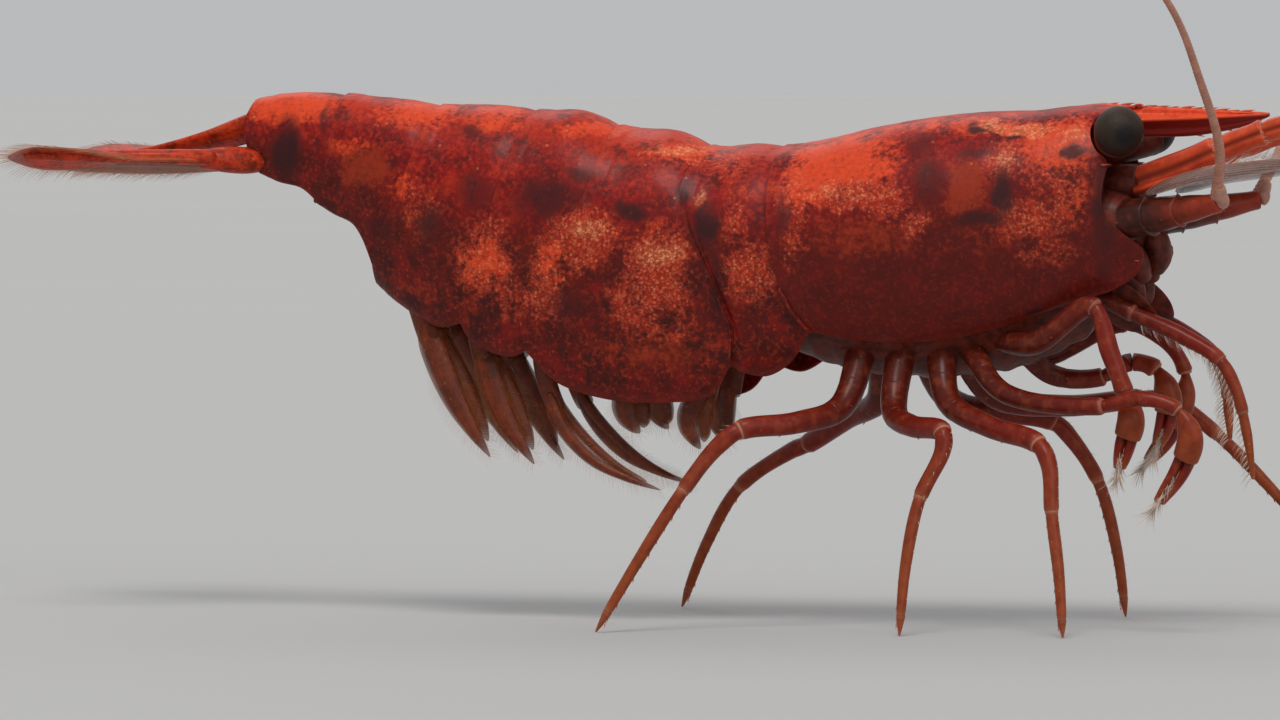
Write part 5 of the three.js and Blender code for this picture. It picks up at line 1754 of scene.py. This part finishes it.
def make_feelers(context, red, stem, rose, hairs):
    """Antennules and antennae: jointed stalks with ringed feelers."""
    look = context.scene.shrimp_feeler
    tree = feeler_tree()
    for word, side in SIDES:
        stalk = to_side(ANTENNULE_STALK, side)
        form = Form()
        jointed(form, stalk, ANTENNULE_LENGTHS, ANTENNULE_JOINTS, OUT, sides=36, groove=0.22)
        hard_length(form, to_side(ANTENNULE_GUARD, side), 0, 2, 1.0, 0.6, OUT, 0.7, sides=12)
        belongs(form.to_object(f"antennule_stalk_{word}", red), "feeler", f"antennule_{word}")
        for at, reach in ANTENNULE_HAIRS:
            end_hairs(hairs, stalk, at, reach)
        for title, rows in (("upper", ANTENNULE_UPPER), ("lower", ANTENNULE_LOWER)):
            make_whip(f"antennule_{title}_{word}", rows, side, tree, red, look)

        stalk = to_side(ANTENNA_STALK, side)
        form = Form()
        jointed(form, stalk, ANTENNA_LENGTHS, ANTENNA_JOINTS, OUT, flat=0.85)
        belongs(form.to_object(f"antenna_stalk_{word}", stem), "feeler", f"antenna_{word}")
        form = Form()
        collar = slimmer(stalk, [ANTENNA_COLLAR_GIRTH] * len(stalk)) + to_side(ANTENNA_COLLAR_END, side)
        hard_length(form, collar, 2.9, 5.0, 1.0, 0.9, UP, pale=0.4)
        belongs(form.to_object(f"antenna_collar_{word}", rose), "feeler")
        make_whip(f"antenna_whip_{word}", ANTENNA_WHIP, side, tree, rose, look)


def make_antennal_scales(context, bristles):
    """The broad clear scales that lie beside the feelers, with long fringes."""
    look = context.scene.shrimp_fin
    step = context.scene.shrimp_bristle.spacing / MM * 0.6
    thickness = 0.8 * look.thickness / MM
    finish = fin_finish(
        "antennal_scale", look.scale, look.scale_edge, 0.72, 0.3, streaks=0.4, mottle=0.25
    )
    for word, side in SIDES:
        form = Form()
        margin = leaf(form, to_side(ANTENNAL_SCALE, side), OUT, thickness, turn=-0.3 * side, cup=0.2)
        fringe(bristles, margin, step, 0.7, start=0.3, edges=(-side,))
        fringe(bristles, margin, step, 0.6, start=0.8, edges=(side,))
        belongs(form.to_object(f"antennal_scale_blade_{word}", finish), "fin", f"antennal_scale_{word}")


# ---- Stage ----


def daylight(name, way, power, spread, tone):
    """A wide even light that comes from one side."""
    lamp = bpy.data.lights.new(name, "SUN")
    lamp.energy = power
    lamp.angle = math.radians(spread)
    lamp.color = tone
    placed(name, lamp).rotation_euler = Vector(way).to_track_quat("Z", "Y").to_euler()


def make_floor(look):
    """A plain pale disc."""
    work = bmesh.new()
    bmesh.ops.create_circle(work, cap_ends=True, segments=96, radius=FLOOR_RADIUS * MM)
    mesh = bpy.data.meshes.new("floor")
    work.to_mesh(mesh)
    work.free()
    finish = Finish("floor_paint")
    grain = finish.cloud(0.02, 2.0)
    paint = finish.coated(look.floor, (grain, shaded(look.floor, 0.97)))
    mesh.materials.append(finish.surface(paint, 0.7 + grain * 0.1, specular_ior_level=0.2))
    placed("floor", mesh)


def make_camera(look):
    """A long lens, turned ahead of the shrimp's right side."""
    way = Vector((
        math.sin(look.azimuth) * math.cos(look.elevation),
        -math.cos(look.azimuth) * math.cos(look.elevation),
        math.sin(look.elevation),
    ))
    lens = bpy.data.cameras.new("studio_camera")
    lens.lens = look.lens
    lens.sensor_width = 36.0
    lens.clip_start = 0.01
    lens.clip_end = 10.0
    camera = placed("studio_camera", lens)
    camera.location = Vector(to_frame((0, 0, VIEW_LEVEL))) + way * look.distance
    camera.rotation_euler = (-way).to_track_quat("-Z", "Y").to_euler()
    bpy.context.scene.camera = camera


def make_stage(context):
    """Pale floor, soft light and the camera."""
    look = context.scene.shrimp_stage
    make_floor(look)
    world = bpy.data.worlds.new("studio_air")
    world.use_nodes = True
    air = world.node_tree.nodes["Background"].inputs
    air["Color"].default_value = AIR_COLOUR
    air["Strength"].default_value = AIR_STRENGTH
    context.scene.world = world
    for light in LIGHTS:
        daylight(*light)
    make_camera(look)
    context.scene.view_settings.view_transform = "Standard"


# ---- Operators ----


class Workshop:
    """What the operators share: rows of bristles and spines, and finishes."""

    fringes, plumes, brushes, hairs, spines = (Bristles() for _ in range(5))
    finishes = {}

    @classmethod
    def finish(cls, name, make, *values):
        if name not in cls.finishes:
            cls.finishes[name] = make(*values)
        return cls.finishes[name]


def limb_skin(context):
    look = context.scene.shrimp_limb
    return Workshop.finish("limb", limb_finish, "limb_skin", look.limb, look.foot, look)


def flesh_skin(context):
    return Workshop.finish("flesh", flesh_finish, context.scene.shrimp_limb)


def feeler_skins(context):
    """Finishes of the antennules, of the antennae's stalks and of their whips."""
    look, limb = context.scene.shrimp_feeler, context.scene.shrimp_limb
    return (
        limb_finish("feeler_skin", look.feeler, look.feeler_end, limb, mottle=0.3, root=0.2),
        limb_finish("stem_skin", look.stem, look.stem_end, limb, mottle=0.15, root=0.5),
        limb_finish("whip_skin", look.whip, look.whip_end, limb, mottle=0.3, root=0.0),
    )


class ShrimpOperator(bpy.types.Operator):
    """Base of the shrimp's operators."""

    bl_options = {"REGISTER", "UNDO"}


class SHRIMP_OT_carapace(ShrimpOperator):
    """Makes the shell of the head and chest"""

    bl_idname = "shrimp.carapace"
    bl_label = "Carapace"

    def execute(self, context):
        make_carapace(context.scene.shrimp_shell)
        return {"FINISHED"}


class SHRIMP_OT_abdomen(ShrimpOperator):
    """Makes the six overlapping rings of the abdomen"""

    bl_idname = "shrimp.abdomen"
    bl_label = "Abdomen Rings"

    def execute(self, context):
        make_abdomen(context.scene.shrimp_shell)
        return {"FINISHED"}


class SHRIMP_OT_rostrum(ShrimpOperator):
    """Makes the toothed rostrum"""

    bl_idname = "shrimp.rostrum"
    bl_label = "Rostrum"

    def execute(self, context):
        make_rostrum(context.scene.shrimp_shell, Workshop.spines)
        return {"FINISHED"}


class SHRIMP_OT_underside(ShrimpOperator):
    """Makes the soft skin of the underside and the face"""

    bl_idname = "shrimp.underside"
    bl_label = "Underside and Face"

    def execute(self, context):
        finish = flesh_skin(context)
        make_underside(finish)
        make_face(finish)
        return {"FINISHED"}


class SHRIMP_OT_eyes(ShrimpOperator):
    """Makes the faceted eyes and their stalks"""

    bl_idname = "shrimp.eyes"
    bl_label = "Eyes"

    def execute(self, context):
        make_eyes(context, flesh_skin(context))
        return {"FINISHED"}


class SHRIMP_OT_feelers(ShrimpOperator):
    """Makes the antennules and antennae"""

    bl_idname = "shrimp.feelers"
    bl_label = "Feelers"

    def execute(self, context):
        make_feelers(context, *feeler_skins(context), Workshop.hairs)
        return {"FINISHED"}


class SHRIMP_OT_antennal_scales(ShrimpOperator):
    """Makes the two fringed scales beside the feelers"""

    bl_idname = "shrimp.antennal_scales"
    bl_label = "Antennal Scales"

    def execute(self, context):
        make_antennal_scales(context, Workshop.plumes)
        return {"FINISHED"}


class SHRIMP_OT_feeding_limbs(ShrimpOperator):
    """Makes the hairy pair of feeding limbs"""

    bl_idname = "shrimp.feeding_limbs"
    bl_label = "Feeding Limbs"

    def execute(self, context):
        make_maxillipeds(limb_skin(context), Workshop.brushes)
        return {"FINISHED"}


class SHRIMP_OT_claws(ShrimpOperator):
    """Makes the two pairs of brushed claws"""

    bl_idname = "shrimp.claws"
    bl_label = "Claws"

    def execute(self, context):
        make_claw_legs(limb_skin(context), Workshop.brushes)
        return {"FINISHED"}


class SHRIMP_OT_walking_legs(ShrimpOperator):
    """Makes the three pairs of walking legs"""

    bl_idname = "shrimp.walking_legs"
    bl_label = "Walking Legs"

    def execute(self, context):
        make_walking_legs(limb_skin(context), Workshop.spines, Workshop.hairs)
        return {"FINISHED"}


class SHRIMP_OT_swimming_limbs(ShrimpOperator):
    """Makes the five pairs of swimming limbs"""

    bl_idname = "shrimp.swimming_limbs"
    bl_label = "Swimming Limbs"

    def execute(self, context):
        make_swimming_limbs(context, Workshop.fringes)
        return {"FINISHED"}


class SHRIMP_OT_tail_fan(ShrimpOperator):
    """Makes the telson and the tail fins"""

    bl_idname = "shrimp.tail_fan"
    bl_label = "Tail Fan"

    def execute(self, context):
        make_tail_fan(context, Workshop.fringes, Workshop.spines)
        return {"FINISHED"}


class SHRIMP_OT_bristles(ShrimpOperator):
    """Grows the bristles, brushes and spines whose roots the other operators laid"""

    bl_idname = "shrimp.bristles"
    bl_label = "Bristles and Spines"

    def execute(self, context):
        look = context.scene.shrimp_bristle
        tree = bristle_tree()
        pale = bristle_finish("pale_bristle", look.bristle)
        russet = bristle_finish("fringe_bristle", look.fringe, 0.6)
        horn = bristle_finish("horn_spine", look.horn)
        hair, thorn = {"sides": 3, "bends": 4}, {"sides": 8, "bends": 6}
        # Name, roots, finish, slot, sides and bends, girth and bend as shares of the reach,
        # and how far the bristles stray.
        grown = (
            ("fin_fringes", Workshop.fringes, russet, "fin", hair, 0.016, 0.18, 0.08),
            ("scale_plumes", Workshop.plumes, pale, "fin", hair, 0.016, 0.16, 0.06),
            ("claw_brushes", Workshop.brushes, pale, "limb", hair, 0.022, 0.2, 0.16),
            ("limb_hairs", Workshop.hairs, pale, "limb", hair, 0.05, 0.2, 0.15),
            ("shell_spines", Workshop.spines, horn, "shell", thorn, 0.16, 0.12, 0.03),
        )
        for name, roots, finish, slot, shape, girth, bend, spread in grown:
            piece = roots.to_object(
                name, tree, girth=girth, bend=bend, spread=spread, seed=look.seed, material=finish, **shape
            )
            belongs(piece, slot)
        return {"FINISHED"}


class SHRIMP_OT_stage(ShrimpOperator):
    """Makes the pale floor, the soft lights and the camera"""

    bl_idname = "shrimp.stage"
    bl_label = "Stage"

    def execute(self, context):
        make_stage(context)
        return {"FINISHED"}


OPERATORS = (
    SHRIMP_OT_carapace, SHRIMP_OT_abdomen, SHRIMP_OT_rostrum, SHRIMP_OT_underside, SHRIMP_OT_eyes,
    SHRIMP_OT_feelers, SHRIMP_OT_antennal_scales, SHRIMP_OT_feeding_limbs, SHRIMP_OT_claws,
    SHRIMP_OT_walking_legs, SHRIMP_OT_swimming_limbs, SHRIMP_OT_tail_fan, SHRIMP_OT_bristles,
    SHRIMP_OT_stage,
)
SETTINGS = {
    "shrimp_shell": ShrimpShellSettings, "shrimp_limb": ShrimpLimbSettings, "shrimp_fin": ShrimpFinSettings,
    "shrimp_feeler": ShrimpFeelerSettings, "shrimp_eye": ShrimpEyeSettings,
    "shrimp_bristle": ShrimpBristleSettings, "shrimp_stage": ShrimpStageSettings,
}


class SHRIMP_PT_build(bpy.types.Panel):
    """Sidebar panel with the shrimp's settings and operators"""

    bl_label = "Shrimp"
    bl_idname = "SHRIMP_PT_build"
    bl_space_type = "VIEW_3D"
    bl_region_type = "UI"
    bl_category = "Shrimp"

    def draw(self, context):
        for name, group in SETTINGS.items():
            box = self.layout.box()
            for key in group.__annotations__:
                box.prop(getattr(context.scene, name), key)
        for operator in OPERATORS:
            self.layout.operator(operator.bl_idname)


def register():
    for group in SETTINGS.values():
        bpy.utils.register_class(group)
    for name, group in SETTINGS.items():
        setattr(bpy.types.Scene, name, bpy.props.PointerProperty(type=group))
    for each in (*OPERATORS, SHRIMP_PT_build):
        bpy.utils.register_class(each)


def unregister():
    for each in reversed((*OPERATORS, SHRIMP_PT_build)):
        bpy.utils.unregister_class(each)
    for name in SETTINGS:
        delattr(bpy.types.Scene, name)
    for group in reversed(SETTINGS.values()):
        bpy.utils.unregister_class(group)


def main():
    register()
    for operator in OPERATORS:
        group, name = operator.bl_idname.split(".")
        getattr(getattr(bpy.ops, group), name)()
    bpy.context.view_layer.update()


if __name__ == "__main__":
    main()
